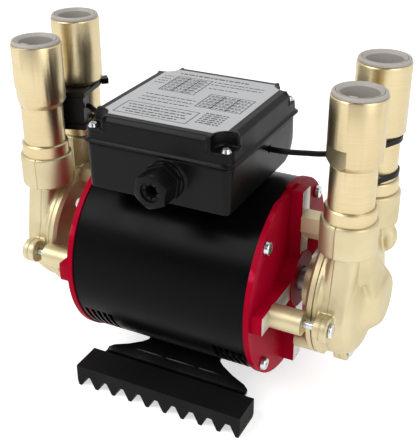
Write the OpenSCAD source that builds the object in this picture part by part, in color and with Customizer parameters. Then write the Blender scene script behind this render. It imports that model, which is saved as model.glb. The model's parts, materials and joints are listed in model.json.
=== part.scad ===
// Twin shower pump: one motor between two brass pump heads, each with an inlet and an outlet
// coupling for pipe pushed in from above. X runs along the motor shaft, Y to the back, Z up.

/* [Motor] */
// Outside diameter of the motor sleeve
sleeve_d = 130.4; // [124:0.1:136]
// Wall of the motor sleeve
sleeve_wall = 1.4; // [1:0.1:2]
// Length of the sleeve between the end brackets
motor_len = 123.6; // [116:0.1:132]
// Thickness of an end bracket's plate
bracket_t = 3.7; // [3:0.1:5]
// How far a bracket's rim stands outside the sleeve
bracket_lip = 1; // [0.5:0.1:2]
// Width of a bracket rib
rib_w = 12.4; // [10:0.1:14]
// How far the machined rib faces stand out from the plate
rib_rise = 7.8; // [6:0.1:10]
// Diameter of the shaft in its bearings
shaft_d = 15; // [14:0.1:16]

/* [Pump heads] */
// Length of the posts between a bracket rib and the back casting
post_len = 18.2; // [16:0.1:22]
// Radius from the shaft to the front and rear lug bolts
lug_reach = 48; // [47:0.1:51]
// Radius from the shaft to the lower lug bolt
low_reach = 45.5; // [45:0.1:48]
// Radius of the joint flange round the volute
volute_r = 43.5; // [42.5:0.1:44.5]
// How far the volute cover stands out from the joint face
cover_depth = 35; // [33:0.1:38]
// Distance of the pipe axes from the joint face
pipe_set = 12.5; // [11.5:0.1:13.5]
// Distance of the inlet axis in front of the shaft
inlet_off = 20; // [18:0.1:22]
// Distance of the outlet axis behind the shaft
outlet_off = 25; // [24:0.1:27]
// Height of the socket mouths above the shaft
socket_rise = 63.5; // [62:0.1:68]

/* [Pipe couplings] */
// Pipe that the couplings take
pipe_d = 22; // [21.5:0.1:22.4]
// Clearance round the pipe, on the radius
pipe_clear = 0.15; // [0.1:0.01:0.25]
// Outside diameter of a coupling's head
coupling_d = 33; // [32:0.1:34]
// Outside diameter of a coupling's neck
neck_d = 28; // [26:0.1:29]
// Diameter of the collar that seats on the socket
collar_d = 31.4; // [30:0.1:32.5]
// Height of an inlet coupling above its socket
coupling_len = 78.4; // [74:0.1:84]
// Extra height of an outlet coupling
outlet_extra = 6.1; // [3:0.1:8]

/* [Terminal box] */
// Length of the lid's flat top along the shaft
lid_top_w = 91.2; // [84:0.1:93]
// Depth of the lid's flat top, front to back
lid_top_d = 98; // [92:0.1:100]
// Height of the lid above its rim
lid_h = 17.4; // [15:0.1:19]
// How far the rim stands outside the flat top at each end
lid_flare = 5.2; // [4.5:0.1:6]
// How far the rim stands outside the flat top at the front and the back
lid_flare_y = 4.3; // [4:0.1:5]
// Height of the box base
base_h = 30.6; // [30:0.1:36]
// Wall of the box and its lid
box_wall = 2.5; // [2:0.1:3]
// Distance of the middle of the box in front of the shaft
box_off = 7.5; // [6.5:0.1:8.5]
// Width across the flats of the cable gland's nut
gland_flats = 20; // [19:0.1:22]

/* [Feet] */
// Length of a rubber foot
foot_len = 125; // [110:0.1:130]
// Width of a rubber foot, front to back
foot_w = 22.6; // [20:0.1:24]
// Height of a rubber foot
foot_h = 16.6; // [15.5:0.1:18]
// Distance from the shaft to the inner side of each foot
foot_reach = 46.8; // [45.5:0.1:50]
// Height of the teeth under a foot
tooth_h = 8.3; // [7:0.1:9]
// Teeth under each foot
tooth_count = 10; // [8:1:12]

/* [Hidden] */

$fn = 96;
overrun = 1;          // how far a cut runs past the face it opens
seat_gap = 0.05;      // clearance of a piece clamped or pressed in its seat
run_gap = 0.03;       // running clearance of a shaft, on the radius
slip_gap = 0.3;       // clearance of a piece that moves freely
facets = 40;          // sides of the discs that a cast or moulded skin is drawn over

brass = "#d8c48a";
turned_brass = "#d9bf77";
crimson = "#a3062d";
black = "#111113";
box_grey = "#2b2c2e";
steel = "#b9bcc0";
rubber_black = "#1b1b1c";
collet_grey = "#b8b3ad";

// Saddle: a pressed plate, two flanges in the feet and a cradle under the sleeve
sheet_t = 2;
slot_drop = 3.8;
slot_z = foot_h - slot_drop;              // underside of a flange in its foot
flange_top = slot_z + sheet_t;
cradle_rise = 4.15;                       // from a flange's top to the cradle's lowest point
cradle_t = 2.6;
cradle_half = 21;                         // half angle of the cradle, degrees
neck_half = 28;                           // half width of the saddle at the cradle
saddle_edge = [[51, 37.7], [41, 34.5], [32, 30.6]]; // curve from a flange in to the neck
flange_in = 8;                            // from a foot's end in to its flange
flange_half = foot_len / 2 - flange_in;
web_out = 42;                             // where a flange turns up towards the cradle
slot_depth = 12;
tooth_in = 2;                             // from a foot's end to its last tooth's tip
fixing_r = 2.4;
fixing_head_r = 4;
fixing_head_h = 2.6;
fixing_x = 18;
fixing_angle = 9;

sleeve_r = sleeve_d / 2;
sleeve_bore = sleeve_r - sleeve_wall;
axis_z = flange_top + cradle_rise + cradle_t + seat_gap + sleeve_r;
half_len = motor_len / 2;
vent_count = 5;
vent_w = 3.3;
vent_pitch = 4.5;
vent_len = 34;
vent_end = 5;                             // from the sleeve's end to the first slot's middle
vent_angles = [219, 321];

// End brackets
bracket_r = sleeve_r + bracket_lip;
plate_x = half_len + bracket_t;           // outer face of a bracket's plate
rib_x = plate_x + rib_rise;               // machined face of its ribs
rib_end_gap = 2.4;                        // from a rib's end to the rim
notch_drop = 3.8;                         // flat on the rim under the terminal box
notch_w = 30;
spigot_len = 4;
spigot_t = 3;
hub_r = 19;
hub_rise = 0.8;
hub_x = plate_x + rib_rise + hub_rise;
hub_in = 12;                              // how far the bearing housing reaches inwards
bearing_r = 17.5;
bearing_w = 11;
bearing_lip = 2;
shaft_r = shaft_d / 2;
lip_gap = 1;
tie_in = 5.8;
tie_reach = bracket_r - tie_in;
tie_r = 2.5;
tie_head_r = 4.6;
tie_head_h = 3.6;
rib_top_off = 3;                          // the upper rib lies this far behind the shaft
pocket_wall = 3.2;

// Stator and rotor
core_gap = 0.2;
core_r = sleeve_bore - core_gap;
core_half = 27;
rotor_gap = 0.5;
core_depth = 27.8;                        // from the sleeve's bore to the stator's bore
slot_mouth = 3;                           // from the stator's bore out to its slots
yoke_depth = 11.8;                        // from the slots out to the sleeve's bore
liner_t = 1;
turn_spread = 3;                          // how far the end turns stand outside the slots
stator_bore = sleeve_bore - core_depth;
slot_count = 24;
slot_w = 3;
slot_in = stator_bore + slot_mouth;
slot_out = sleeve_bore - yoke_depth;
winding_in = slot_in + liner_t;
winding_out = slot_out + turn_spread;
winding_len = 15;
rotor_r = stator_bore - rotor_gap;
rotor_bar_r = 2;
rotor_bar_count = 28;
rotor_seat_r = shaft_r + 3;
fan_set = 0.6;
fan_gap = 1.6;
fan_clear = 9.8;                          // from the sleeve's bore in to the fan's tips
fan_x = -half_len + spigot_len + fan_set;
fan_disc_t = 2;
fan_blade_h = 8;
fan_r = sleeve_bore - fan_clear;
fan_hub_r = hub_r + pocket_wall + fan_gap;
blade_t = 1.8;
blade_count = 9;

// Pump heads
back_x = rib_x + post_len;                // motor side of the back casting
back_t = 5;
joint_x = back_x + back_t;
pipe_x = joint_x + pipe_set;
flange_t = 4;
flange_edge = 1;
post_r = 7.7;
lug_r = 8;
bottom_lug = 270;
lugs = [0, 180, bottom_lug];
lug_gap = 5;                              // from the joint face to a cover lug
lug_len = 8.9;
post_end = 2.5;                           // a post stops this far short of the joint face
lug_x = joint_x + lug_gap;
top_pad_w = 12;
top_pad_h = 16.5;
top_pad_z = 39.6;                         // middle of the upper pad above the shaft
top_step_w = 7.5;
top_step_h = 6;
seal_bore = 12.5;
seal_hub_r = 16.5;
seal_hub_len = 11;
bolt_r = 2.4;
bolt_head_r = 4.8;
bolt_head_h = 2.4;
bolt_clear = 0.25;
cavity_r = 37;
cavity_w = 10;
shell_r = 41;
shell_flat = 13.5;                        // joint face to the end of the volute's parallel part
shoulder_set = 20;                        // joint face to the volute's outer corner
shoulder_fall = 2;
face_set = 22.6;
face_r = 35.5;
nose_set = 27;                            // joint face to the root of the nose
nose_root_r = 22;
nose_end_r = 17.5;
nose_edge = 2.6;
eye_r = 12;
eye_wall = 4;
duct_r = 5.5;
duct_set = 3.5;                             // the inlet duct lies this far outside the pipe axis
socket_r = 17.6;
socket_len = 22;
socket_rim = 1.2;
spigot_r = 13;
spigot_depth = 16;
throat_r = 9.5;
column_d = 26;                            // depth of a column under its socket
column_out = 23;                          // joint face to a column's outer side
column_edge = 7;
cheek_r = 7;                              // swelling under a socket's outer side
cheek_end_r = 4.5;
cheek_len = 21;
seam_w = 0.8;
seam_rise = 0.4;
seam_set = 9.5;                           // joint face to the parting seam
seal_ring_r = 1.3;

// Shaft seals and impellers
seat_len = 4;
head_len = 9;
head_r = 10.5;
nose_r = 5;
nose_start = back_x - seal_hub_len - 1;
impeller_r = cavity_r - 1.5;
impeller_w = cavity_w - 2;
impeller_disc = 2;
impeller_hub_r = 8.5;
vane_count = 6;
vane_t = 1.8;
vane_r = impeller_r / 2 - 1.2;
nut_r = 6;
nut_h = 4;

// Couplings
pipe_bore = pipe_d / 2 + pipe_clear;
head_r_out = coupling_d / 2;
neck_r = neck_d / 2;
collar_r = collar_d / 2;
socket_z = axis_z + socket_rise;
collar_h = 8.4;
cone_h = 4;
rear_cone_h = 1.6;
neck_len = 25.6;                          // from the collar to the cone
rear_neck_extra = 3.7;
chamber_r = pipe_bore + 3.4;
chamber_len = 13;
stop_len = 4;
stop_r = 8;
cap_h = 2.2;                              // the end cap stands this far above the brass
cap_r = 15.8;
cap_skirt = 4;
cap_edge = 0.7;
collet_wall = 1;
collet_bore = pipe_bore + 0.1;
collet_r = collet_bore + collet_wall;
collet_flange_r = 13.4;
collet_flange_h = 1.8;
collet_stroke = 2;
collet_len = 8;
collet_mouth = 1.65;                      // chamfer round the mouth
tab_w = 4.6;
seal_w = 3;
grab_t = 0.8;
flat_depth = 2.8;
flat_h = 13.3;
flat_angle = 236;
lead_in = 0.8;

// Floats inside the outlet couplings and the switches on them
float_len = 15;
float_rib = 1.4;
float_r = throat_r - slip_gap;
float_travel = 8;
float_seat_r = 7.5;
float_rest = 1.6;
switch_w = 20;
switch_t = 12.6;
switch_h = 27.6;
switch_gap = 0.3;
switch_turn = 18;                         // turn of a switch from the front towards the box
switch_drop = 0.4;                        // gap between the cone and a switch
tie_w = 3.2;
tie_t = 1.2;
tie_low = 2.8;
tie_high = 25.8;
tie_head_w = 7;
tie_head_t = 5;
tie_head_turn = 25;                       // turn of a tie's head towards the back

// Terminal box
box_seat = 1;                             // from the sleeve's top to the box's floor
box_z = axis_z + sleeve_r + box_seat;
rim_t = 1.5;
gasket_t = 0.5;
lid_z = box_z + base_h + gasket_t;
lid_top = lid_z + lid_h;
rim_w = lid_top_w + 2 * lid_flare;
rim_d = lid_top_d + 2 * lid_flare_y;
rim_step = 1.5;                           // from the rim in to the walls
base_w = rim_w - 2 * rim_step;            // outside of the base at its top
base_draft = 1.4;
roll_gap = 0.3;
base_roll = base_h / 2 - roll_gap;
rear_in = 1.6;
base_d = rim_d - 2 * rim_step - 2 * rear_in;
corner_r = 6;
shoulder_share = 0.78;
shoulder_in_share = 0.5;
pad_w = 64;
pad_front = 26;
pad_back = 22;
screw_in = 6.2;                           // lid screws in from the rim
pocket_r = 9.2;
pocket_depth = 8.8;
pocket_shift = 0.5;
lid_screw_r = 1.6;
lid_head_r = 3.1;
lid_head_h = 2;
boss_r = 5;
plate_t = 0.3;
plate_in = 4.3;
plate_corner_r = 10.5;
plate_edge_share = 0.03;

// Cable gland in the front of the box
gland_x = 8.2;
gland_drop = 13.4;                        // from the rim down to the gland's axis
gland_z = box_z + base_h - gland_drop;
gland_boss_r = 11.8;
gland_boss_len = 4;
gland_thread_r = 7.8;
gland_body_len = 4.5;
gland_body_flats = 22;
gland_nut_len = 12.5;
gland_dome = 1.6;
cable_r = 4;
gland_mouth_r = 6.4;
gland_seal_r = 7.2;
gland_seal_len = 12;
gland_lock_len = 3;
seal_set = 2.2;
star_count = 8;
star_w = 0.8;
gland_turn = 38;

// Parts inside the box
cap_body_r = 12;
cap_body_len = 58;
block_len = 42;
block_w = 15;
block_h = 13;
block_in = 21;                            // from the front of the rim to the block's middle
block_y = -rim_d / 2 + block_in;
way_count = 5;
way_r = 2;
board_len = 52;
board_w = 16;
board_t = 1.6;
block_gap = 2.8;
board_y = block_y + (block_w + board_w) / 2 + block_gap;
cap_gap = 8;
cap_body_y = board_y + board_w / 2 + cap_gap + cap_body_r;
board_leg = 4;
relay_len = 16;
relay_w = 12;
relay_h = 11;

// Switch leads: round leads held between the box and the switches
lead_r = 1.9;
lead_hole = lead_r + 0.2;
lead_y = -2;
lead_z = 21.9;                            // above the box's floor
lead_sides = 8;
lead_points = [[46, -2, 21.9], [50, -2.2, 22], [54, -2.8, 22.3], [59, -3.4, 22.8],
    [64, -3, 23], [69, -1.4, 23], [74, 0.2, 23], [79, 1.7, 23], [83.5, 3.9, 23],
    [87, 6.5, 23], [89.6, 8.3, 23.1], [92.1, 8.7, 23.2]];

// Row frame: the origin lies on the floor under the middle of the whole part
foot_out = foot_reach + foot_w;
box_front = -box_off - rim_d / 2;
wall_front = box_front + rim_step + base_draft / 2;
gland_face = wall_front - gland_boss_len - gland_body_len - gland_nut_len;
row_shift = -(foot_out + gland_face) / 2;

// A cylinder along X from x0
module xcyl(x0, len, r, r2 = -1) {
    translate([x0, 0, 0]) rotate([0, 90, 0]) cylinder(h = len, r1 = r, r2 = r2 < 0 ? r : r2);
}

// A cylinder along Y, towards the front, from y0
module ycyl(y0, len, r) {
    translate([0, y0, 0]) rotate([90, 0, 0]) cylinder(h = len, r = r);
}

// A ring along X
module xring(x0, len, r, bore) {
    difference() {
        xcyl(x0, len, r);
        xcyl(x0 - overrun, len + 2 * overrun, bore);
    }
}

// A ring along Z
module zring(z0, len, r, bore) {
    translate([0, 0, z0]) difference() {
        cylinder(h = len, r = r);
        translate([0, 0, -overrun]) cylinder(h = len + 2 * overrun, r = bore);
    }
}

// A round rubber ring lying in the plane across Z
module zseal(z, r, section) {
    translate([0, 0, z]) rotate_extrude() translate([r, 0]) circle(r = section, $fn = 24);
}

// A box with rounded upright corners, as a flat slab
module slab(w, d, h, r) {
    for (sx = [-1, 1], sy = [-1, 1])
        translate([sx * (w / 2 - r), sy * (d / 2 - r), 0]) cylinder(h = h, r = r, $fn = facets);
}

// The same slab as one exact solid
module plate(w, d, h, r) {
    slab(w, d, h, r);
    translate([-w / 2 + r, -d / 2, 0]) cube([w - 2 * r, d, h]);
    translate([-w / 2, -d / 2 + r, 0]) cube([w, d - 2 * r, h]);
}

// Children placed with their origin on the motor shaft
module on_shaft() {
    translate([0, row_shift, axis_z]) children();
}

// Children placed on the floor plane of the row frame
module on_floor() {
    translate([0, row_shift, 0]) children();
}

// The right-hand piece, or its mirror image for the left
module hand(side) {
    if (side < 0) mirror([1, 0, 0]) children();
    else children();
}

// A point at a radius and an angle round the shaft
module round_shaft(r, a) {
    translate([0, r * cos(a), r * sin(a)]) children();
}

// The place of a head's lug at an angle round the shaft
module at_lug(a) {
    round_shaft(a == bottom_lug ? low_reach : lug_reach, a) children();
}

module motor_sleeve() {
    color(black) on_shaft() difference() {
        xring(-half_len, motor_len, sleeve_r, sleeve_bore);
        for (side = [-1, 1], a = vent_angles, i = [0 : vent_count - 1])
            rotate([a, 0, 0])
                translate([side * (half_len - vent_end - i * vent_pitch), sleeve_r, 0])
                    cube([vent_w, 4 * sleeve_wall, vent_len], center = true);
    }
}

module stator_core() {
    color(steel) on_shaft() difference() {
        xring(-core_half, 2 * core_half, core_r, stator_bore);
        for (i = [0 : slot_count - 1])
            rotate([i * 360 / slot_count, 0, 0])
                translate([-core_half - overrun, slot_in, -slot_w / 2])
                    cube([2 * (core_half + overrun), slot_out - slot_in, slot_w]);
        for (a = [45 : 90 : 315])
            round_shaft(tie_reach, a)
                xcyl(-core_half - overrun, 2 * (core_half + overrun), tie_r + 2 * slip_gap);
    }
}

// One end turn of the windings, a ring with rounded edges
module end_turn() {
    round_r = 3;
    rotate([0, 90, 0]) rotate_extrude() {
        translate([winding_in, 0]) square([winding_out - winding_in, winding_len - round_r]);
        translate([winding_in + round_r, 0])
            square([winding_out - winding_in - 2 * round_r, winding_len]);
        for (r = [winding_in + round_r, winding_out - round_r])
            translate([r, winding_len - round_r]) circle(r = round_r);
    }
}

module stator_windings() {
    color("#8c4a22") on_shaft() {
        for (side = [-1, 1]) hand(side) translate([core_half + seat_gap, 0, 0]) end_turn();
    }
}

// One rib of a bracket, from the hub to the rim
module rib(a, shift) {
    rotate([a, 0, 0])
        translate([half_len, hub_r - pocket_wall, -rib_w / 2 + shift])
            cube([rib_x - half_len, bracket_r - rib_end_gap - hub_r + pocket_wall, rib_w]);
}

module bracket(side) {
    color(crimson) on_shaft() hand(side) difference() {
        union() {
            difference() {
                xcyl(half_len, bracket_t, bracket_r);
                translate([half_len - overrun, rib_top_off - rib_w / 2 - notch_w,
                        bracket_r - notch_drop])
                    cube([bracket_t + 2 * overrun, notch_w, 2 * notch_drop]);
            }
            xring(half_len - spigot_len, spigot_len, sleeve_bore - core_gap,
                sleeve_bore - core_gap - spigot_t);
            intersection() {
                union() {
                    rib(90, -rib_top_off);
                    for (a = [0, 180, 270]) rib(a, 0);
                }
                xcyl(half_len, rib_rise + 2 * bracket_t, bracket_r - rib_end_gap);
            }
            xcyl(plate_x - overrun, hub_x - plate_x + overrun, hub_r);
            xcyl(half_len - hub_in, hub_in + overrun, bearing_r + pocket_wall);
        }
        xcyl(half_len - hub_in - overrun, bearing_w + bearing_lip + overrun,
            bearing_r + seat_gap);
        xcyl(half_len - hub_in, hub_in + hub_x, shaft_r + lip_gap);
        for (a = [45 : 90 : 315])
            round_shaft(tie_reach, a)
                xcyl(half_len - hub_in, hub_in + 2 * bracket_t + overrun, tie_r + bolt_clear);
        for (a = lugs) at_lug(a) xcyl(half_len - overrun, rib_x, bolt_r + bolt_clear);
    }
}

module left_bracket() { bracket(-1); }
module right_bracket() { bracket(1); }

module bearing() {
    race = 3.4;
    ball_r = 3;
    mid = (bearing_r + shaft_r) / 2;
    web_t = 1.6;
    xring(0, bearing_w, bearing_r, bearing_r - race);
    xring(0, bearing_w, shaft_r + race, shaft_r + run_gap);
    xring((bearing_w - web_t) / 2, web_t, bearing_r - race, shaft_r + race);
    intersection() {
        xring(0, bearing_w, bearing_r - race, shaft_r + race);
        for (a = [0 : 40 : 320])
            translate([bearing_w / 2, mid * cos(a), mid * sin(a)]) sphere(r = ball_r, $fn = 24);
    }
}

module bearings() {
    color(steel) on_shaft()
        for (side = [-1, 1]) hand(side)
            translate([half_len - hub_in + bearing_lip, 0, 0]) bearing();
}

module hex_head(x0, r, h) {
    translate([x0, 0, 0]) rotate([0, 90, 0]) cylinder(h = h, r = r, $fn = 6);
}

module tie_bolts() {
    color(steel) on_shaft()
        for (a = [45 : 90 : 315]) round_shaft(tie_reach, a) {
            xcyl(-plate_x, 2 * plate_x, tie_r);
            hex_head(plate_x, tie_head_r, tie_head_h);
            hex_head(-plate_x - tie_head_h, tie_head_r, tie_head_h);
        }
}

// Back casting of a pump head: a disc on posts that stand on the bracket's ribs
module pump_back(side) {
    color(brass) on_shaft() hand(side) difference() {
        union() {
            rotate([0, 90, 0]) rotate_extrude() polygon([[0, back_x],
                [volute_r - 2 * flange_edge, back_x], [volute_r, back_x + 2 * flange_edge],
                [volute_r, joint_x], [0, joint_x]]);
            xcyl(back_x - seal_hub_len, seal_hub_len + overrun, seal_hub_r);
            for (a = lugs) at_lug(a) xcyl(rib_x, joint_x - post_end - rib_x, post_r);
            translate([rib_x, -top_pad_w / 2 + overrun, top_pad_z - top_pad_h / 2]) {
                translate([0, 0, top_step_h])
                    cube([post_len + overrun, top_pad_w, top_pad_h - top_step_h]);
                translate([0, top_pad_w - top_step_w, 0])
                    cube([post_len + overrun, top_step_w, top_pad_h]);
            }
            for (a = lugs) rotate([a, 0, 0])
                translate([back_x, seal_hub_r, -post_r / 2])
                    cube([back_t - post_end, low_reach - seal_hub_r, post_r]);
        }
        xcyl(back_x - seal_hub_len + seat_len / 2, joint_x, seal_bore);
        xcyl(back_x - seal_hub_len - overrun, joint_x, shaft_r + lip_gap);
        for (a = lugs) at_lug(a) xcyl(rib_x - overrun, joint_x, bolt_r + bolt_clear);
    }
}

module left_pump_back() { pump_back(-1); }
module right_pump_back() { pump_back(1); }

// Profile of the volute cover, turned about the shaft
module cover_profile() {
    nose = joint_x + cover_depth;
    polygon([[0, joint_x], [volute_r, joint_x], [volute_r, joint_x + flange_t - flange_edge],
        [volute_r - flange_edge, joint_x + flange_t], [shell_r, joint_x + flange_t],
        [shell_r, joint_x + shell_flat],
        [shell_r - shoulder_fall / 2, joint_x + (shell_flat + shoulder_set) / 2],
        [shell_r - shoulder_fall, joint_x + shoulder_set], [face_r, joint_x + face_set],
        [nose_root_r + nose_edge, joint_x + nose_set - nose_edge / 2],
        [nose_root_r, joint_x + nose_set], [nose_end_r, nose - nose_edge],
        [nose_end_r - nose_edge, nose - nose_edge / 4], [nose_end_r / 2, nose], [0, nose]]);
}

// A socket for a coupling, with its rim turned flat
module socket(y) {
    translate([pipe_x, y, socket_rise - socket_len]) {
        cylinder(h = socket_len - socket_rim, r = socket_r);
        translate([0, 0, socket_len - socket_rim])
            cylinder(h = socket_rim, r1 = socket_r, r2 = socket_r - socket_rim / 2);
    }
}

// The cast column that carries a socket and runs into the side of the volute
module column(y, grow = 0) {
    w = column_out - flange_t;
    hull() {
        translate([joint_x + flange_t + w / 2, y, socket_rise - socket_len])
            slab(w, column_d + 2 * grow, overrun, column_edge);
        translate([joint_x + flange_t, y / 2, 0]) rotate([0, 90, 0])
            cylinder(h = shoulder_set - flange_t, r = shell_r - abs(y) / 2 - overrun + grow,
                $fn = facets);
    }
}

// A column with the swelling under its socket's outer side and the casting's parting seam
module passage(y) {
    foot_z = socket_rise - socket_len;
    column(y);
    translate([pipe_x + socket_r - cheek_r - overrun, y, foot_z - cheek_len])
        cylinder(h = cheek_len + overrun, r1 = cheek_end_r, r2 = cheek_r);
    intersection() {
        union() {
            column(y, seam_rise);
            translate([pipe_x, y, foot_z])
                cylinder(h = socket_len - 2 * socket_rim, r = socket_r + seam_rise);
        }
        translate([joint_x + seam_set, -2 * volute_r, 0])
            cube([seam_w, 4 * volute_r, 2 * socket_rise]);
    }
}

// The suction elbow, from the inlet socket's outer side down to the nose
module elbow() {
    x = joint_x + cover_depth - nose_edge;
    hull() {
        translate([pipe_x + socket_r - cheek_r - overrun, -inlet_off, socket_rise - socket_len])
            cylinder(h = overrun, r = cheek_r, $fn = facets);
        translate([x - nose_end_r / 2, 0, 0]) rotate([0, 90, 0])
            cylinder(h = nose_end_r / 2, r = nose_end_r - nose_edge, $fn = facets);
    }
}

// Volute cover with both sockets cast on
module pump_cover(side) {
    eye_x = joint_x + cavity_w + 2 * overrun;
    color(brass) on_shaft() hand(side) difference() {
        union() {
            rotate([0, 90, 0]) rotate_extrude() cover_profile();
            passage(-inlet_off);
            passage(outlet_off);
            elbow();
            socket(-inlet_off);
            socket(outlet_off);
            for (a = lugs) {
                at_lug(a) xcyl(lug_x, lug_len, lug_r);
                rotate([a, 0, 0]) translate([lug_x, 0, -lug_r / 2])
                    cube([lug_len, low_reach, lug_r]);
            }
        }
        xcyl(joint_x - overrun, cavity_w + overrun, cavity_r);
        xcyl(eye_x - 3 * overrun, cover_depth - eye_wall - cavity_w, eye_r);
        translate([pipe_x + duct_set, -inlet_off, 0]) {
            cylinder(h = socket_rise, r = duct_r);
            sphere(r = duct_r);
            rotate([-90, 0, 0]) cylinder(h = inlet_off, r = duct_r);
        }
        translate([joint_x + cavity_w, outlet_off, 0]) cylinder(h = socket_rise, r = duct_r);
        for (y = [-inlet_off, outlet_off])
            translate([pipe_x, y, socket_rise - spigot_depth])
                cylinder(h = spigot_depth + overrun, r = spigot_r + seat_gap);
        for (a = lugs)
            at_lug(a) xcyl(joint_x - overrun, lug_gap + lug_len + 2 * overrun,
                bolt_r + bolt_clear);
    }
}

module left_pump_cover() { pump_cover(-1); }
module right_pump_cover() { pump_cover(1); }

module cover_seals() {
    color(rubber_black) on_shaft() for (side = [-1, 1]) hand(side)
        translate([joint_x + cavity_w / 2, 0, 0])
            xring(0, overrun, cavity_r - seat_gap, cavity_r - overrun);
}

module cover_bolts() {
    head_x = lug_x + lug_len;
    color(steel) on_shaft()
        for (side = [-1, 1], a = lugs) hand(side) at_lug(a) {
            xcyl(half_len + bracket_t / 2, head_x - half_len - bracket_t / 2, bolt_r);
            xcyl(head_x, bolt_head_h, bolt_head_r, bolt_head_r - bolt_clear);
        }
}

module seal_seats() {
    color("#d9d4c8") on_shaft() for (side = [-1, 1]) hand(side)
        xring(back_x - seal_hub_len + seat_len / 2, seat_len, seal_bore - seat_gap,
            nose_r + slip_gap);
}

// Top of a coupling's ring above the shaft, and the foot of the cone under its head
function ring_top(extra) = socket_rise + coupling_len + extra;
front_cone_z = socket_rise + collar_h + neck_len;
rear_cone_z = front_cone_z + rear_neck_extra;

// Turned profile of a coupling and its stepped bore
module coupling(x, y, extra) {
    top = ring_top(extra) - cap_h;
    cone_z = extra > 0 ? rear_cone_z : front_cone_z;
    cone = extra > 0 ? rear_cone_h : cone_h;
    stop_z = cone_z + stop_len;
    translate([x, y, 0]) difference() {
        rotate_extrude() polygon([[0, socket_rise - spigot_depth + overrun],
            [spigot_r, socket_rise - spigot_depth + overrun], [spigot_r, socket_rise],
            [collar_r, socket_rise], [collar_r, socket_rise + collar_h - lead_in],
            [collar_r - lead_in, socket_rise + collar_h], [neck_r, socket_rise + collar_h],
            [neck_r, cone_z], [head_r_out, cone_z + cone], [head_r_out, top - lead_in],
            [head_r_out - lead_in / 2, top], [0, top]]);
        translate([0, 0, socket_rise - spigot_depth]) {
            cylinder(h = top, r = float_seat_r);
            translate([0, 0, spigot_depth + collar_h])
                cylinder(h = neck_len - 2 * overrun, r = throat_r);
        }
        translate([0, 0, stop_z]) cylinder(h = top, r = pipe_bore);
        translate([0, 0, top - chamber_len]) cylinder(h = top, r = chamber_r);
        if (extra == 0)
            rotate([0, 0, flat_angle])
                translate([head_r_out - flat_depth, -head_r_out, cone_z])
                    cube([flat_depth + overrun, 2 * head_r_out, flat_h]);
    }
}

module front_left_coupling() { color(turned_brass) on_shaft() coupling(-pipe_x, -inlet_off, 0); }
module front_right_coupling() { color(turned_brass) on_shaft() coupling(pipe_x, -inlet_off, 0); }

module rear_left_coupling() {
    color(turned_brass) on_shaft() coupling(-pipe_x, outlet_off, outlet_extra);
}

module rear_right_coupling() {
    color(turned_brass) on_shaft() coupling(pipe_x, outlet_off, outlet_extra);
}

// Children repeated on the four pipe axes, at the top of each ring
module each_pipe() {
    for (sx = [-1, 1]) {
        translate([sx * pipe_x, -inlet_off, ring_top(0)]) children();
        translate([sx * pipe_x, outlet_off, ring_top(outlet_extra)]) children();
    }
}

module end_caps() {
    color(collet_grey) on_shaft() each_pipe() difference() {
        union() {
            rotate_extrude() polygon([[0, -cap_h], [cap_r, -cap_h],
                [cap_r, -cap_edge], [cap_r - cap_edge, 0], [0, 0]]);
            translate([0, 0, -cap_h - cap_skirt])
                cylinder(h = cap_skirt + overrun, r = chamber_r - seat_gap);
        }
        translate([0, 0, -cap_h - cap_skirt - overrun])
            cylinder(h = cap_h + cap_skirt + 2 * overrun, r = collet_r + slip_gap);
        translate([0, 0, -collet_flange_h - collet_stroke - seat_gap])
            cylinder(h = cap_h + collet_stroke, r = collet_flange_r + slip_gap);
    }
}

module grab_rings() {
    color(steel) on_shaft() each_pipe()
        zring(-cap_h - cap_skirt - grab_t - seat_gap, grab_t, chamber_r - seat_gap,
            collet_r + slip_gap);
}

module pipe_seals() {
    color(rubber_black) on_shaft() each_pipe()
        zseal(-cap_h - chamber_len + seal_ring_r + seat_gap,
            chamber_r - seal_ring_r - seat_gap, seal_ring_r);
}

module socket_seals() {
    groove = 1;
    color(rubber_black) on_shaft() for (sx = [-1, 1], y = [-inlet_off, outlet_off])
        translate([sx * pipe_x, y, 0])
            zring(socket_rise - spigot_depth + seat_gap, groove - 2 * seat_gap,
                spigot_r - seat_gap, float_seat_r + overrun);
}

// A collet: a sleeve under a flange, with a small tab at the front of its mouth
module collet(x, y, extra) {
    top = ring_top(extra);
    flange_z = top - collet_flange_h;
    mouth_r = collet_bore + collet_mouth;
    on_shaft() translate([x, y, 0]) difference() {
        union() {
            translate([0, 0, flange_z - collet_len]) cylinder(h = collet_len, r = collet_r);
            translate([0, 0, flange_z]) cylinder(h = collet_flange_h, r = collet_flange_r);
        }
        translate([0, 0, flange_z - collet_len - overrun])
            cylinder(h = collet_len + collet_flange_h + 2 * overrun, r = collet_bore);
        difference() {
            translate([0, 0, top - collet_mouth])
                cylinder(h = collet_mouth + seat_gap, r1 = collet_bore, r2 = mouth_r);
            if (extra == 0)
                translate([-tab_w / 2, -mouth_r - overrun, flange_z - overrun])
                    cube([tab_w, mouth_r, collet_flange_h + 2 * overrun]);
        }
    }
}

module front_left_collet() { color(collet_grey) collet(-pipe_x, -inlet_off, 0); }
module front_right_collet() { color(collet_grey) collet(pipe_x, -inlet_off, 0); }
module rear_left_collet() { color(collet_grey) collet(-pipe_x, outlet_off, outlet_extra); }
module rear_right_collet() { color(collet_grey) collet(pipe_x, outlet_off, outlet_extra); }

// A magnetic float that the flow lifts past the reed switch
module flow_float(side) {
    hole_r = float_seat_r / 3;
    z = socket_rise + collar_h + seat_gap;
    color("#2d2f33") on_shaft() translate([side * pipe_x, outlet_off, z]) difference() {
        cylinder(h = float_len, r = float_r);
        for (a = [0 : 60 : 300]) rotate([0, 0, a])
            translate([float_r, 0, -overrun])
                cylinder(h = float_len + 2 * overrun, r = hole_r);
        translate([0, 0, float_len - float_rib]) cylinder(h = float_len, r = hole_r);
    }
}

module left_float() { flow_float(-1); }
module right_float() { flow_float(1); }

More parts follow.
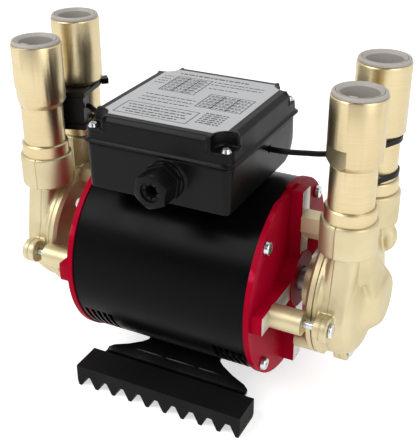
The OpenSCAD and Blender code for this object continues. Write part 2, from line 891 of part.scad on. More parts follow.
switch_z = rear_cone_z - switch_drop - switch_h;

// Outline of a switch housing seen from above, seated on the coupling's neck
module switch_outline() {
    rotate([0, 0, -switch_turn])
        translate([-switch_w / 2, -neck_r - switch_gap - switch_t])
            square([switch_w, switch_t + neck_r / 2]);
}

module flow_switch(side) {
    edge = 1.6;
    color(black) on_shaft() hand(side) translate([pipe_x, outlet_off, switch_z]) difference() {
        linear_extrude(height = switch_h) switch_outline();
        translate([0, 0, -overrun])
            cylinder(h = switch_h + 2 * overrun, r = neck_r + switch_gap);
        for (z = [tie_low, tie_high]) rotate([0, 0, -switch_turn])
            translate([-switch_w, -neck_r - switch_gap - switch_t - overrun,
                    z - tie_w / 2 - slip_gap])
                cube([2 * switch_w, overrun + edge / 2, tie_w + 2 * slip_gap]);
    }
}

module left_flow_switch() { flow_switch(-1); }
module right_flow_switch() { flow_switch(1); }

// Path that a tie takes round a coupling's neck and its switch
module tie_path(grow) {
    edge = 1.6;
    hull() {
        circle(r = neck_r + grow + seat_gap, $fn = facets);
        rotate([0, 0, -switch_turn])
            translate([-switch_w / 2 - grow - seat_gap,
                    -neck_r - switch_gap - switch_t + edge / 2 - grow - seat_gap])
                square([switch_w + 2 * (grow + seat_gap), switch_t / 2]);
    }
}

module tie(side, z) {
    on_shaft() hand(side) translate([pipe_x, outlet_off, switch_z + z - tie_w / 2]) {
        linear_extrude(height = tie_w) difference() {
            tie_path(tie_t);
            tie_path(0);
        }
        rotate([0, 0, -switch_turn - tie_head_turn])
            translate([-neck_r - tie_t - tie_head_t, -tie_head_w / 2, -tie_w / 4])
                cube([tie_head_t, tie_head_w, tie_w * 1.25]);
    }
}

module cable_ties() {
    color(rubber_black) for (side = [-1, 1], z = [tie_low, tie_high]) tie(side, z);
}

// Children placed with the origin at the middle of the terminal box, on its floor
module on_box() {
    translate([0, row_shift - box_off, box_z]) children();
}

// Outer skin of the box base, or its cavity when inset by the wall
module base_skin(inset) {
    w = base_w - 2 * inset;
    d = base_d + 2 * rear_in - 2 * inset;
    roll = base_roll - inset;
    r = corner_r - inset / 2;
    hull() {
        translate([0, -rear_in, base_h - overrun]) slab(w, d - 2 * rear_in, overrun, r);
        translate([0, -rear_in - base_roll / 2 + base_draft / 2, inset])
            slab(w - 2 * base_draft, d - 2 * rear_in - base_roll - base_draft, overrun, r / 2);
        translate([-w / 2 + base_draft, d / 2 - roll - 2 * rear_in, roll + inset])
            rotate([0, 90, 0]) cylinder(h = w - 2 * base_draft, r = roll, $fn = facets);
    }
}

// The four lid screw places
module each_screw() {
    for (sx = [-1, 1], sy = [-1, 1])
        translate([sx * (rim_w / 2 - screw_in), sy * (rim_d / 2 - screw_in), 0]) children();
}

module terminal_box_base() {
    front = -rim_d / 2 + rim_step + base_draft / 2;
    color(box_grey) on_box() difference() {
        union() {
            difference() {
                union() {
                    base_skin(0);
                    translate([gland_x, front + box_wall, gland_z - box_z])
                        ycyl(0, gland_boss_len + box_wall, gland_boss_r);
                    translate([-pad_w / 2, box_off - pad_front, -sleeve_r / 4])
                        cube([pad_w, pad_front + pad_back, sleeve_r / 4 + box_wall]);
                }
                base_skin(box_wall);
                translate([0, -rear_in, base_h - 2 * overrun])
                    plate(base_w - 2 * box_wall, base_d - 2 * box_wall, 3 * overrun,
                        corner_r - box_wall / 2);
            }
            intersection() {
                each_screw() cylinder(h = base_h, r = boss_r);
                base_skin(overrun);
            }
        }
        translate([0, box_off, axis_z - box_z])
            xcyl(-pad_w, 2 * pad_w, sleeve_r + seat_gap);
        each_screw() translate([0, 0, box_wall])
            cylinder(h = base_h, r = lid_screw_r + seat_gap);
        translate([gland_x, front + 3 * box_wall, gland_z - box_z])
            ycyl(0, gland_boss_len + 4 * box_wall, gland_thread_r + seat_gap);
        for (side = [-1, 1]) hand(side)
            translate([0, lead_y + box_off, lead_z])
                xcyl(rim_w / 2 - 6 * box_wall, 8 * box_wall, lead_hole);
    }
}

// Skin of the lid: sloping walls that turn over a soft shoulder into the flat top
module lid_skin(inset) {
    hull() {
        slab(rim_w - 2 * rim_step - 2 * inset, rim_d - 2 * rim_step - 2 * inset, rim_t,
            corner_r);
        translate([0, 0, lid_h * shoulder_share - inset])
            slab(rim_w - 2 * lid_flare * (1 - shoulder_in_share) - 2 * inset,
                rim_d - 2 * lid_flare_y * (1 - shoulder_in_share) - 2 * inset, overrun, corner_r);
        translate([0, 0, lid_h - overrun - inset])
            slab(lid_top_w - 2 * inset, lid_top_d - 2 * inset, overrun, corner_r / 2);
    }
}

module each_pocket() {
    for (sx = [-1, 1], sy = [-1, 1])
        translate([sx * (rim_w / 2 - screw_in + pocket_shift),
            sy * (rim_d / 2 - screw_in + pocket_shift), 0]) children();
}

module terminal_box_lid() {
    floor_z = lid_h - pocket_depth;
    color(box_grey) on_box() translate([0, 0, base_h + gasket_t]) difference() {
        union() {
            plate(rim_w, rim_d, rim_t, corner_r);
            lid_skin(0);
        }
        difference() {
            translate([0, 0, -overrun]) lid_skin(box_wall);
            each_pocket() translate([0, 0, -2 * overrun])
                cylinder(h = lid_h, r = pocket_r + box_wall);
        }
        each_pocket() translate([0, 0, floor_z]) cylinder(h = lid_h, r = pocket_r);
        each_screw() translate([0, 0, -overrun])
            cylinder(h = lid_h, r = lid_screw_r + seat_gap);
    }
}

module lid_gasket() {
    color(rubber_black) on_box() translate([0, 0, base_h]) difference() {
        translate([0, -rear_in, 0])
            plate(base_w - slip_gap, base_d - slip_gap, gasket_t, corner_r);
        translate([0, -rear_in, -overrun])
            plate(base_w - 4 * box_wall, base_d - 4 * box_wall, gasket_t + 2 * overrun,
                corner_r / 2);
        each_screw() translate([0, 0, -overrun])
            cylinder(h = rim_t, r = lid_screw_r + seat_gap);
    }
}

module lid_screws() {
    head_z = base_h + gasket_t + lid_h - pocket_depth;
    depth = 18;
    slot = 0.8;
    color(steel) on_box() each_screw() difference() {
        union() {
            translate([0, 0, head_z - depth]) cylinder(h = depth, r = lid_screw_r);
            translate([0, 0, head_z])
                cylinder(h = lid_head_h, r1 = lid_head_r, r2 = lid_head_r * 0.7);
        }
        for (a = [0, 90]) rotate([0, 0, a])
            translate([-lid_head_r / 2, -slot / 2, head_z + lid_head_h / 2])
                cube([lid_head_r, slot, lid_head_h]);
    }
}

module rating_plate() {
    w = lid_top_w - 2 * plate_in;
    d = lid_top_d - 2 * plate_in;
    color("#c3c6ca") on_box() translate([0, 0, lid_top - box_z]) difference() {
        translate([-w / 2, -d / 2, 0]) cube([w, d, plate_t]);
        each_pocket() translate([0, 0, -overrun])
            cylinder(h = plate_t + 2 * overrun, r = pocket_r + box_wall / 2);
    }
}

// Children placed on the gland's axis; y runs back from the front wall of the box
module on_gland() {
    translate([gland_x, row_shift + wall_front, gland_z]) children();
}

module hex_bar(y0, len, flats) {
    translate([0, y0, 0]) rotate([90, gland_turn, 0])
        cylinder(h = len, r = flats / 2 / cos(30), $fn = 6);
}

module gland_body() {
    y0 = -gland_boss_len;
    color(black) on_gland() difference() {
        union() {
            hex_bar(y0, gland_body_len, gland_body_flats);
            ycyl(y0 + gland_boss_len + 2 * box_wall, gland_boss_len + 2 * box_wall
                + overrun, gland_thread_r);
            hex_bar(2 * box_wall + gland_lock_len, gland_lock_len, gland_flats);
        }
        ycyl(gland_boss_len + 3 * box_wall, 4 * gland_nut_len, gland_seal_r + seat_gap);
    }
}

module gland_nut() {
    y0 = -gland_boss_len - gland_body_len;
    color(black) on_gland() difference() {
        intersection() {
            hex_bar(y0, gland_nut_len, gland_flats);
            translate([0, y0, 0]) rotate([90, 0, 0]) rotate_extrude() polygon([[0, 0],
                [gland_flats, 0], [gland_flats, gland_nut_len / 2],
                [gland_flats / 2, gland_nut_len], [0, gland_nut_len]]);
        }
        ycyl(y0 + overrun, gland_nut_len - gland_dome + overrun, gland_seal_r + seat_gap);
        ycyl(y0 + overrun, gland_nut_len + 2 * overrun, gland_mouth_r);
    }
}

// Rubber sleeve that grips the cable, with a star of petals in its mouth
module gland_seal() {
    y0 = gland_face + gland_dome + seat_gap - wall_front + gland_seal_len;
    color(rubber_black) on_gland() difference() {
        ycyl(y0, gland_seal_len, gland_seal_r);
        ycyl(y0 + overrun, gland_seal_len + 2 * overrun, cable_r);
        for (i = [0 : star_count - 1]) rotate([0, i * 360 / star_count, 0])
            translate([0, y0 - gland_seal_len - overrun, -star_w / 2])
                cube([gland_mouth_r - overrun, seal_set + overrun, star_w]);
    }
}

module capacitor() {
    color("#d7d7d2") on_box() translate([0, cap_body_y, box_wall + cap_body_r + seat_gap]) {
        xcyl(-cap_body_len / 2, cap_body_len, cap_body_r);
        xcyl(cap_body_len / 2, overrun, cap_body_r / 2);
    }
}

module terminal_block() {
    pitch = block_len / way_count;
    color("#e6e1cf") on_box()
        translate([-block_len / 2, block_y - block_w / 2, box_wall + seat_gap]) difference() {
            cube([block_len, block_w, block_h]);
            for (i = [0 : way_count - 1])
                translate([(i + 0.5) * pitch, block_w / 2, block_h / 2])
                    cylinder(h = block_h, r = way_r);
        }
}

module control_board() {
    color("#2f5a3a") on_box()
        translate([-board_len / 2, board_y - board_w / 2, box_wall + seat_gap]) {
            for (x = [0, board_len - board_leg], y = [0, board_w - board_leg])
                translate([x, y, 0]) cube([board_leg, board_leg, board_leg]);
            translate([0, 0, board_leg]) cube([board_len, board_w, board_t]);
            translate([board_leg, (board_w - relay_w) / 2, board_leg + board_t])
                cube([relay_len, relay_w, relay_h]);
        }
}

// One ring of a lead at point i of its route, square to the route there
function lead_dir(i) = let (n = len(lead_points) - 1, d = lead_points[min(i + 1, n)]
    - lead_points[max(i - 1, 0)]) d / norm(d);
function lead_ring(i) = let (d = lead_dir(i), s = cross(d, [0, 0, 1]), u = s / norm(s),
    v = cross(u, d)) [for (k = [0 : lead_sides - 1])
        lead_points[i] + lead_r * (cos(k * 360 / lead_sides) * u + sin(k * 360 / lead_sides) * v)];

module lead(side) {
    n = len(lead_points);
    points = [for (i = [0 : n - 1]) each lead_ring(i)];
    first = [for (k = [0 : lead_sides - 1]) k];
    last = [for (k = [lead_sides - 1 : -1 : 0]) (n - 1) * lead_sides + k];
    walls = [for (i = [0 : n - 2], k = [0 : lead_sides - 1])
        let (a = i * lead_sides + k, b = i * lead_sides + (k + 1) % lead_sides)
        [a, a + lead_sides, b + lead_sides, b]];
    color(black) translate([0, row_shift, box_z]) hand(side)
        polyhedron(points = points, faces = concat([first], [last], walls));
}

module left_switch_lead() { lead(-1); }
module right_switch_lead() { lead(1); }

// Plan of the saddle: wide in the feet, narrow under the motor
module saddle_plan() {
    edge = concat([[flange_half, foot_reach + slot_depth], [flange_half, web_out - sheet_t]],
        saddle_edge, [[neck_half, neck_half]]);
    n = len(edge) - 1;
    polygon(concat(edge, [for (i = [n : -1 : 0]) [edge[i][0], -edge[i][1]]],
        [for (i = [0 : n]) -edge[i]], [for (i = [n : -1 : 0]) [-edge[i][0], edge[i][1]]]));
}

module base_saddle() {
    inner = sleeve_r + seat_gap;
    edge_y = inner * sin(cradle_half);
    edge_z = axis_z - inner * cos(cradle_half);
    rise = atan2(edge_z - flange_top, web_out - edge_y);
    run = norm([edge_z - flange_top, web_out - edge_y]);
    color(black) on_floor() difference() {
        intersection() {
            translate([0, 0, -overrun]) linear_extrude(height = axis_z) saddle_plan();
            union() {
                intersection() {
                    translate([0, 0, axis_z])
                        xring(-flange_half, 2 * flange_half, inner + cradle_t, inner);
                    translate([-flange_half, -edge_y, 0]) cube([2 * flange_half, 2 * edge_y,
                        axis_z / 2]);
                }
                for (sy = [-1, 1]) mirror([0, sy < 0 ? 1 : 0, 0]) {
                    translate([-flange_half, web_out, slot_z])
                        cube([2 * flange_half, foot_reach + slot_depth - web_out, sheet_t]);
                    translate([-flange_half, web_out, flange_top]) rotate([-rise, 0, 0])
                        translate([0, -run - sheet_t / 2, -sheet_t])
                            cube([2 * flange_half, run + sheet_t, sheet_t]);
                }
            }
        }
        translate([0, 0, axis_z]) xcyl(-foot_len, 2 * foot_len, inner);
        for (sx = [-1, 1], a = [-fixing_angle, fixing_angle])
            translate([sx * fixing_x, 0, axis_z]) rotate([a, 0, 0])
                translate([0, 0, -inner - 2 * cradle_t])
                    cylinder(h = 3 * cradle_t, r = fixing_r + seat_gap);
    }
}

module saddle_fixings() {
    head = sleeve_r + seat_gap + cradle_t;
    color(steel) on_shaft() for (sx = [-1, 1], a = [-fixing_angle, fixing_angle])
        translate([sx * fixing_x, 0, 0]) rotate([a, 0, 0]) {
            translate([0, 0, -head]) cylinder(h = cradle_t, r = fixing_r);
            translate([0, 0, -head - fixing_head_h - seat_gap])
                cylinder(h = fixing_head_h, r = fixing_head_r);
        }
}

// Side view of a foot: a solid band with blunt teeth below
module foot_side() {
    tip = 2.2;
    root = 3.4;
    end = foot_len / 2;
    first = -end + tooth_in;
    pitch = 2 * (end - tooth_in) / (tooth_count - 1);
    half = (pitch - root) / 2;
    polygon(concat([[-end, foot_h], [-end, tooth_h]],
        [for (i = [0 : tooth_count - 1], p = [0 : 3])
            let (mid = first + i * pitch)
            p == 0 ? [max(mid - half, -end), i == 0 ? tooth_h / 2 : tooth_h] :
            p == 1 ? [mid - tip / 2, 0] : p == 2 ? [mid + tip / 2, 0] :
            [min(mid + half, end), i == tooth_count - 1 ? tooth_h / 2 : tooth_h]],
        [[end, foot_h]]));
}

module foot(sy) {
    color(rubber_black) on_floor() mirror([0, sy < 0 ? 1 : 0, 0]) difference() {
        translate([0, foot_out, 0]) rotate([90, 0, 0])
            linear_extrude(height = foot_w) foot_side();
        translate([-flange_half - seat_gap, foot_reach - overrun, slot_z - seat_gap])
            cube([2 * (flange_half + seat_gap), slot_depth + overrun + seat_gap,
                sheet_t + 2 * seat_gap]);
    }
}

module front_foot() { foot(-1); }
module rear_foot() { foot(1); }

module motor_shaft() {
    seal_x = nose_start;
    end = joint_x + cavity_w - overrun;
    color(steel) on_shaft() {
        xcyl(-core_half - overrun, 2 * (core_half + overrun), rotor_seat_r);
        for (side = [-1, 1]) hand(side) {
            xcyl(core_half + overrun, seal_x - core_half - overrun, shaft_r);
            xcyl(seal_x, end - seal_x, nose_r);
            hex_head(end - nut_h, nut_r, nut_h);
        }
    }
}

module rotor_core() {
    color("#8d8f93") on_shaft() difference() {
        xcyl(-core_half, 2 * core_half, rotor_r);
        xcyl(-core_half - overrun, 2 * (core_half + overrun), rotor_seat_r + seat_gap);
        for (i = [0 : rotor_bar_count - 1])
            rotate([i * 360 / rotor_bar_count, 0, 0])
                translate([0, rotor_r, 0])
                    xcyl(-core_half - overrun, 2 * (core_half + overrun), rotor_bar_r);
    }
}

module cooling_fan() {
    disc_x = fan_x + fan_blade_h;
    color("#3b3b3d") on_shaft() difference() {
        union() {
            xcyl(disc_x, fan_disc_t, fan_r);
            xcyl(disc_x, bearing_w / 2, shaft_r + pocket_wall);
            for (i = [0 : blade_count - 1]) rotate([i * 360 / blade_count, 0, 0])
                translate([fan_x, fan_hub_r, -blade_t / 2])
                    cube([fan_blade_h + fan_disc_t / 2, fan_r - fan_hub_r - overrun, blade_t]);
        }
        xcyl(fan_x - overrun, 2 * bearing_w + fan_blade_h, shaft_r + seat_gap);
    }
}

// A closed impeller: two discs with curved vanes between, its eye on the cover's side
module impeller(side) {
    x0 = joint_x + overrun;
    color("#cfc8b4") on_shaft() hand(side) difference() {
        union() {
            xcyl(x0, impeller_disc, impeller_r);
            xcyl(x0, impeller_w - overrun, impeller_hub_r);
            xring(x0 + impeller_w - impeller_disc, impeller_disc, impeller_r, eye_r);
            for (i = [0 : vane_count - 1]) rotate([i * 360 / vane_count, 0, 0])
                translate([x0 + overrun, impeller_r / 2, 0]) intersection() {
                    xring(0, impeller_w - 2 * overrun, vane_r, vane_r - vane_t);
                    translate([0, -impeller_r / 2 + impeller_hub_r - overrun, 0])
                        cube([impeller_w, impeller_r, impeller_r / 2]);
                }
        }
        xcyl(x0 - overrun, impeller_w + 2 * overrun, nose_r + seat_gap);
        hex_head(joint_x + cavity_w - overrun - nut_h - seat_gap, nut_r + seat_gap,
            nut_h + 2 * overrun);
    }
}

module left_impeller() { impeller(-1); }
module right_impeller() { impeller(1); }

module seal_heads() {
    x0 = back_x - seal_hub_len + seat_len * 1.5 + slip_gap;
    color(rubber_black) on_shaft() for (side = [-1, 1]) hand(side)
        xring(x0, joint_x + overrun - seat_gap - x0, head_r, nose_r + seat_gap);
}

motor_sleeve();
stator_core();
stator_windings();
left_bracket();
right_bracket();
bearings();
tie_bolts();
left_pump_back();
right_pump_back();
left_pump_cover();
right_pump_cover();
cover_seals();
cover_bolts();
seal_seats();
front_left_coupling();
front_right_coupling();
rear_left_coupling();
rear_right_coupling();
end_caps();
pipe_seals();
grab_rings();
socket_seals();
left_flow_switch();
right_flow_switch();
cable_ties();
terminal_box_base();
terminal_box_lid();
lid_gasket();
lid_screws();
gland_body();
gland_nut();
gland_seal();
rating_plate();
capacitor();
terminal_block();
control_board();
left_switch_lead();
right_switch_lead();
base_saddle();
saddle_fixings();
front_foot();
rear_foot();
motor_shaft();
rotor_core();
cooling_fan();
left_impeller();
right_impeller();
seal_heads();
front_left_collet();
front_right_collet();
rear_left_collet();
rear_right_collet();
left_float();
right_float();
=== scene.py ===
"""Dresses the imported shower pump: finishes for every piece, softened castings and mouldings, light and camera."""

import json
import logging
import math
from collections.abc import Callable
from dataclasses import dataclass
from enum import Enum

import bmesh
import bpy
from mathutils import Matrix, Vector

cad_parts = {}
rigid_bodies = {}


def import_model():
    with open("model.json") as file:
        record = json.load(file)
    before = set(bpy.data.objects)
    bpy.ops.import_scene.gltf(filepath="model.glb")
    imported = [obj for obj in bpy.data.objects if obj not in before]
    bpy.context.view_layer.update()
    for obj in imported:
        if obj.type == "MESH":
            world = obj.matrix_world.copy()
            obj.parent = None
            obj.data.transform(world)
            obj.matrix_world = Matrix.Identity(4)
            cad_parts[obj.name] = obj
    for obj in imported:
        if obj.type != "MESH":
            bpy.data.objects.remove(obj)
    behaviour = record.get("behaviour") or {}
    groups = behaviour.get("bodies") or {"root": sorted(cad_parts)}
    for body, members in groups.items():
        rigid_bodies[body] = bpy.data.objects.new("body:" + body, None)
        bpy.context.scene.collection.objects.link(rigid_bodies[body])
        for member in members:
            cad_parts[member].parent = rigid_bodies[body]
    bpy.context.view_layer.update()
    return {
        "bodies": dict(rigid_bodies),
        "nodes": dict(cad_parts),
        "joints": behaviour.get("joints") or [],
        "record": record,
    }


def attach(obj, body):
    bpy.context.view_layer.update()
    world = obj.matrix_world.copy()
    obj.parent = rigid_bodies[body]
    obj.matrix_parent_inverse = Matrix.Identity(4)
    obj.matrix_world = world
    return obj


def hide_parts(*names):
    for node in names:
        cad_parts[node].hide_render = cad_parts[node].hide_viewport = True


LOG = logging.getLogger("shower_pump")
Triple = tuple[float, float, float]
MM = 0.001
# The motor's axis runs along X at this Y and Z, in mm
ROW_SHIFT = 5.1
SHAFT_Z = 86.8
# Points closer than this are one point
WELD = 0.002 * MM
FLAT_ANGLE = math.radians(0.6)
# Edges sharper than this are rounded or stay sharp, in degrees
SOFT_ANGLE = 32.0
FACETS = 32
CORNERS = ((-1, -1), (-1, 1), (1, -1), (1, 1))
SEAM_SHADE: Triple = (0.44, 0.37, 0.23)


class Surface(Enum):
    """How the surface of a finish is worked. A turned one shows the rings of its tool."""

    MOULDED = "moulded"
    CAST = "cast"
    TURNED = "turned"
    PLATED = "plated"
    PAINTED = "painted"
    FILM = "film"


def add_node(tree: bpy.types.NodeTree, kind: str, values: dict[str, float | tuple[float, ...]] | None = None,
             feeds: dict[str | int, bpy.types.NodeSocket] | None = None,
             **traits: str | bpy.types.NodeTree) -> bpy.types.Node:
    """Adds a shader node.

    Args:
        tree: The tree that grows.
        kind: The node's type, without its prefix.
        values: Fixed values of its inputs.
        feeds: The sockets that feed its inputs.
        traits: Settings of the node itself.

    Returns:
        The node.
    """
    node = tree.nodes.new(f"ShaderNode{kind}")
    for key, trait in traits.items():
        setattr(node, key, trait)
    for key, value in (values or {}).items():
        node.inputs[key].default_value = value
    for key, socket in (feeds or {}).items():
        tree.links.new(socket, node.inputs[key])
    return node


def mesh_of(form: bmesh.types.BMesh, name: str) -> bpy.types.Mesh:
    """Turns a finished form into a mesh.

    Args:
        form: The form, which is freed.
        name: The mesh's name.

    Returns:
        The mesh.
    """
    mesh = bpy.data.meshes.new(name)
    form.to_mesh(mesh)
    form.free()
    return mesh


def round_edges(piece: bpy.types.Object, width: float, segments: int, angle: float, harden: bool) -> None:
    """Rounds a piece's sharp edges.

    Args:
        piece: The piece.
        width: Width of the rounding in mm.
        segments: Faces across a rounding.
        angle: Edges sharper than this are rounded, in degrees.
        harden: True where flat faces keep their flat shading.
    """
    bevel = piece.modifiers.new("rounding", "BEVEL")
    bevel.width = width * MM
    bevel.segments = segments
    bevel.limit_method = "ANGLE"
    bevel.angle_limit = math.radians(angle)
    bevel.harden_normals = harden
    bevel.use_clamp_overlap = True


class Groups:
    """The shader node groups that the finishes share, each built once."""

    def __init__(self) -> None:
        """Builds the groups."""
        self.drift = self._drift()
        self.grain = self._grain()
        self.turning = self._turning()
        self.wear_and_highlight = self._wear_and_highlight()
        self.seam = self._seam()

    @staticmethod
    def _new(name: str, inputs: dict[str, float | None], outputs: tuple[str, ...]) -> tuple:
        """Starts a group.

        Args:
            name: The group's name.
            inputs: Each input, with its default, or None for a colour.
            outputs: The outputs, each a number apart from one named Color.

        Returns:
            The tree, its input node and its output node.
        """
        tree = bpy.data.node_groups.new(name, "ShaderNodeTree")
        for key, value in inputs.items():
            kind = "NodeSocketColor" if value is None else "NodeSocketFloat"
            socket = tree.interface.new_socket(name=key, in_out="INPUT", socket_type=kind)
            if value is not None:
                socket.default_value = value
        for key in outputs:
            kind = "NodeSocketColor" if key == "Color" else "NodeSocketFloat"
            tree.interface.new_socket(name=key, in_out="OUTPUT", socket_type=kind)
        return tree, tree.nodes.new("NodeGroupInput"), tree.nodes.new("NodeGroupOutput")

    def _drift(self) -> bpy.types.NodeTree:
        """Mixes two close colours in soft clouds.

        Returns:
            The node tree.
        """
        tree, start, end = self._new("colour_drift", {"Scale": 20.0, "Tone A": None, "Tone B": None}, ("Color",))
        coords = add_node(tree, "TexCoord")
        noise = add_node(tree, "TexNoise", {"Detail": 4.0},
                         {"Vector": coords.outputs["Object"], "Scale": start.outputs["Scale"]})
        ramp = add_node(tree, "MapRange", {"From Min": 0.35, "From Max": 0.65}, {"Value": noise.outputs["Fac"]})
        mix = add_node(tree, "Mix", None, {"Factor": ramp.outputs["Result"], "A": start.outputs["Tone A"],
                                           "B": start.outputs["Tone B"]}, data_type="RGBA")
        tree.links.new(mix.outputs["Result"], end.inputs["Color"])
        return tree

    def _grain(self) -> bpy.types.NodeTree:
        """A fine grain for relief and a broad, smeared value for roughness.

        Returns:
            The node tree.
        """
        tree, start, end = self._new("surface_grain", {"Scale": 900.0, "Low": 0.4, "High": 0.5},
                                     ("Height", "Roughness"))
        coords = add_node(tree, "TexCoord")
        fine = add_node(tree, "TexNoise", {"Detail": 3.0},
                        {"Vector": coords.outputs["Object"], "Scale": start.outputs["Scale"]})
        broad = add_node(tree, "TexNoise", {"Scale": 45.0, "Detail": 5.0}, {"Vector": coords.outputs["Object"]})
        ramp = add_node(tree, "MapRange", {"From Min": 0.3, "From Max": 0.7},
                        {"Value": broad.outputs["Fac"], "To Min": start.outputs["Low"],
                         "To Max": start.outputs["High"]})
        tree.links.new(fine.outputs["Fac"], end.inputs["Height"])
        tree.links.new(ramp.outputs["Result"], end.inputs["Roughness"])
        return tree

    def _turning(self) -> bpy.types.NodeTree:
        """Rings left by a turning tool, stacked along Z and broken up a little.

        Returns:
            The node tree.
        """
        tree, start, end = self._new("turning_marks", {"Pitch": 3000.0}, ("Height",))
        coords = add_node(tree, "TexCoord")
        squeeze = add_node(tree, "Mapping", {"Scale": (0.02, 0.02, 1.0)}, {"Vector": coords.outputs["Object"]})
        fine = add_node(tree, "TexNoise", {"Detail": 6.0, "Roughness": 0.75},
                        {"Vector": squeeze.outputs["Vector"], "Scale": start.outputs["Pitch"]})
        tree.links.new(fine.outputs["Fac"], end.inputs["Height"])
        return tree

    def _wear_and_highlight(self) -> bpy.types.NodeTree:
        """A mask that grows on convex edges, broken by noise; it marks edge wear and a painted highlight.

        Returns:
            The node tree.
        """
        tree, start, end = self._new("edge_wear_and_highlight", {"Start": 0.54, "End": 0.62}, ("Mask",))
        geometry = add_node(tree, "NewGeometry")
        coords = add_node(tree, "TexCoord")
        noise = add_node(tree, "TexNoise", {"Scale": 300.0}, {"Vector": coords.outputs["Object"]})
        ramp = add_node(tree, "MapRange", None, {"Value": geometry.outputs["Pointiness"],
                                                 "From Min": start.outputs["Start"],
                                                 "From Max": start.outputs["End"]})
        product = add_node(tree, "Math", None, {0: ramp.outputs["Result"], 1: noise.outputs["Fac"]},
                           operation="MULTIPLY")
        tree.links.new(product.outputs["Value"], end.inputs["Mask"])
        return tree

    def _seam(self) -> bpy.types.NodeTree:
        """A mask for the parting seam, a thin line at one distance from the middle along X, in metres.

        Returns:
            The node tree.
        """
        tree, start, end = self._new("parting_seam", {"Place": 0.106, "Width": 0.0005}, ("Mask",))
        coords = add_node(tree, "TexCoord")
        split = add_node(tree, "SeparateXYZ", None, {"Vector": coords.outputs["Object"]})
        reach = add_node(tree, "Math", None, {0: split.outputs["X"]}, operation="ABSOLUTE")
        past = add_node(tree, "Math", None, {0: reach.outputs["Value"], 1: start.outputs["Place"]},
                        operation="SUBTRACT")
        away = add_node(tree, "Math", None, {0: past.outputs["Value"]}, operation="ABSOLUTE")
        ramp = add_node(tree, "MapRange", {"To Min": 1.0, "To Max": 0.0},
                        {"Value": away.outputs["Value"], "From Max": start.outputs["Width"]})
        tree.links.new(ramp.outputs["Result"], end.inputs["Mask"])
        return tree


@dataclass(frozen=True)
class Finish:
    """One finish: two close tones, a range of roughness, a relief in mm and the fixed values of its shader."""

    name: str
    surface: Surface
    tone_a: Triple
    tone_b: Triple
    rough_low: float = 0.4
    rough_high: float = 0.5
    metallic: float = 0.0
    specular: float = 0.5
    grain: float = 900.0
    relief: float = 0.02
    drift: float = 20.0
    wear_and_highlight_tone: Triple | None = None
    seam: float = 0.0
    streak: Triple | None = None

    def build(self, groups: Groups) -> bpy.types.Material:
        """Makes the node material.

        Args:
            groups: The shared node groups.

        Returns:
            The material.
        """
        material = bpy.data.materials.new(self.name)
        material.use_nodes = True
        tree = material.node_tree
        shader = tree.nodes["Principled BSDF"]
        shader.inputs["Metallic"].default_value = self.metallic
        shader.inputs["Specular IOR Level"].default_value = self.specular
        drift = add_node(tree, "Group", {"Scale": self.drift, "Tone A": (*self.tone_a, 1.0),
                                         "Tone B": (*self.tone_b, 1.0)}, node_tree=groups.drift)
        colour = drift.outputs["Color"]
        # Lighter colour on convex edges: edge wear and a painted highlight.
        if self.wear_and_highlight_tone is not None:
            wear_and_highlight = add_node(tree, "Group", node_tree=groups.wear_and_highlight)
            colour = self._tint(tree, colour, wear_and_highlight.outputs["Mask"], self.wear_and_highlight_tone)
        grain = add_node(tree, "Group", {"Scale": self.grain, "Low": self.rough_low, "High": self.rough_high},
                         node_tree=groups.grain)
        height = grain.outputs["Height"]
        if self.surface is Surface.TURNED:
            marks = add_node(tree, "Group", {"Pitch": self.grain}, node_tree=groups.turning)
            height = marks.outputs["Height"]
            if self.streak is not None:
                colour = self._tint(tree, colour, height, self.streak)
        bump = add_node(tree, "Bump", {"Strength": 1.0, "Distance": self.relief * MM}, {"Height": height})
        if self.seam > 0.0:
            line = add_node(tree, "Group", node_tree=groups.seam).outputs["Mask"]
            bump = add_node(tree, "Bump", {"Strength": 1.0, "Distance": self.seam * MM},
                            {"Height": line, "Normal": bump.outputs["Normal"]})
            colour = self._tint(tree, colour, line, SEAM_SHADE)
        tree.links.new(colour, shader.inputs["Base Color"])
        tree.links.new(grain.outputs["Roughness"], shader.inputs["Roughness"])
        tree.links.new(bump.outputs["Normal"], shader.inputs["Normal"])
        return material

    @staticmethod
    def _tint(tree: bpy.types.NodeTree, colour: bpy.types.NodeSocket, mask: bpy.types.NodeSocket,
              shade: Triple) -> bpy.types.NodeSocket:
        """Mixes a shade into a colour where a mask is bright."""
        mix = add_node(tree, "Mix", {"B": (*shade, 1.0)}, {"Factor": mask, "A": colour}, data_type="RGBA")
        return mix.outputs["Result"]


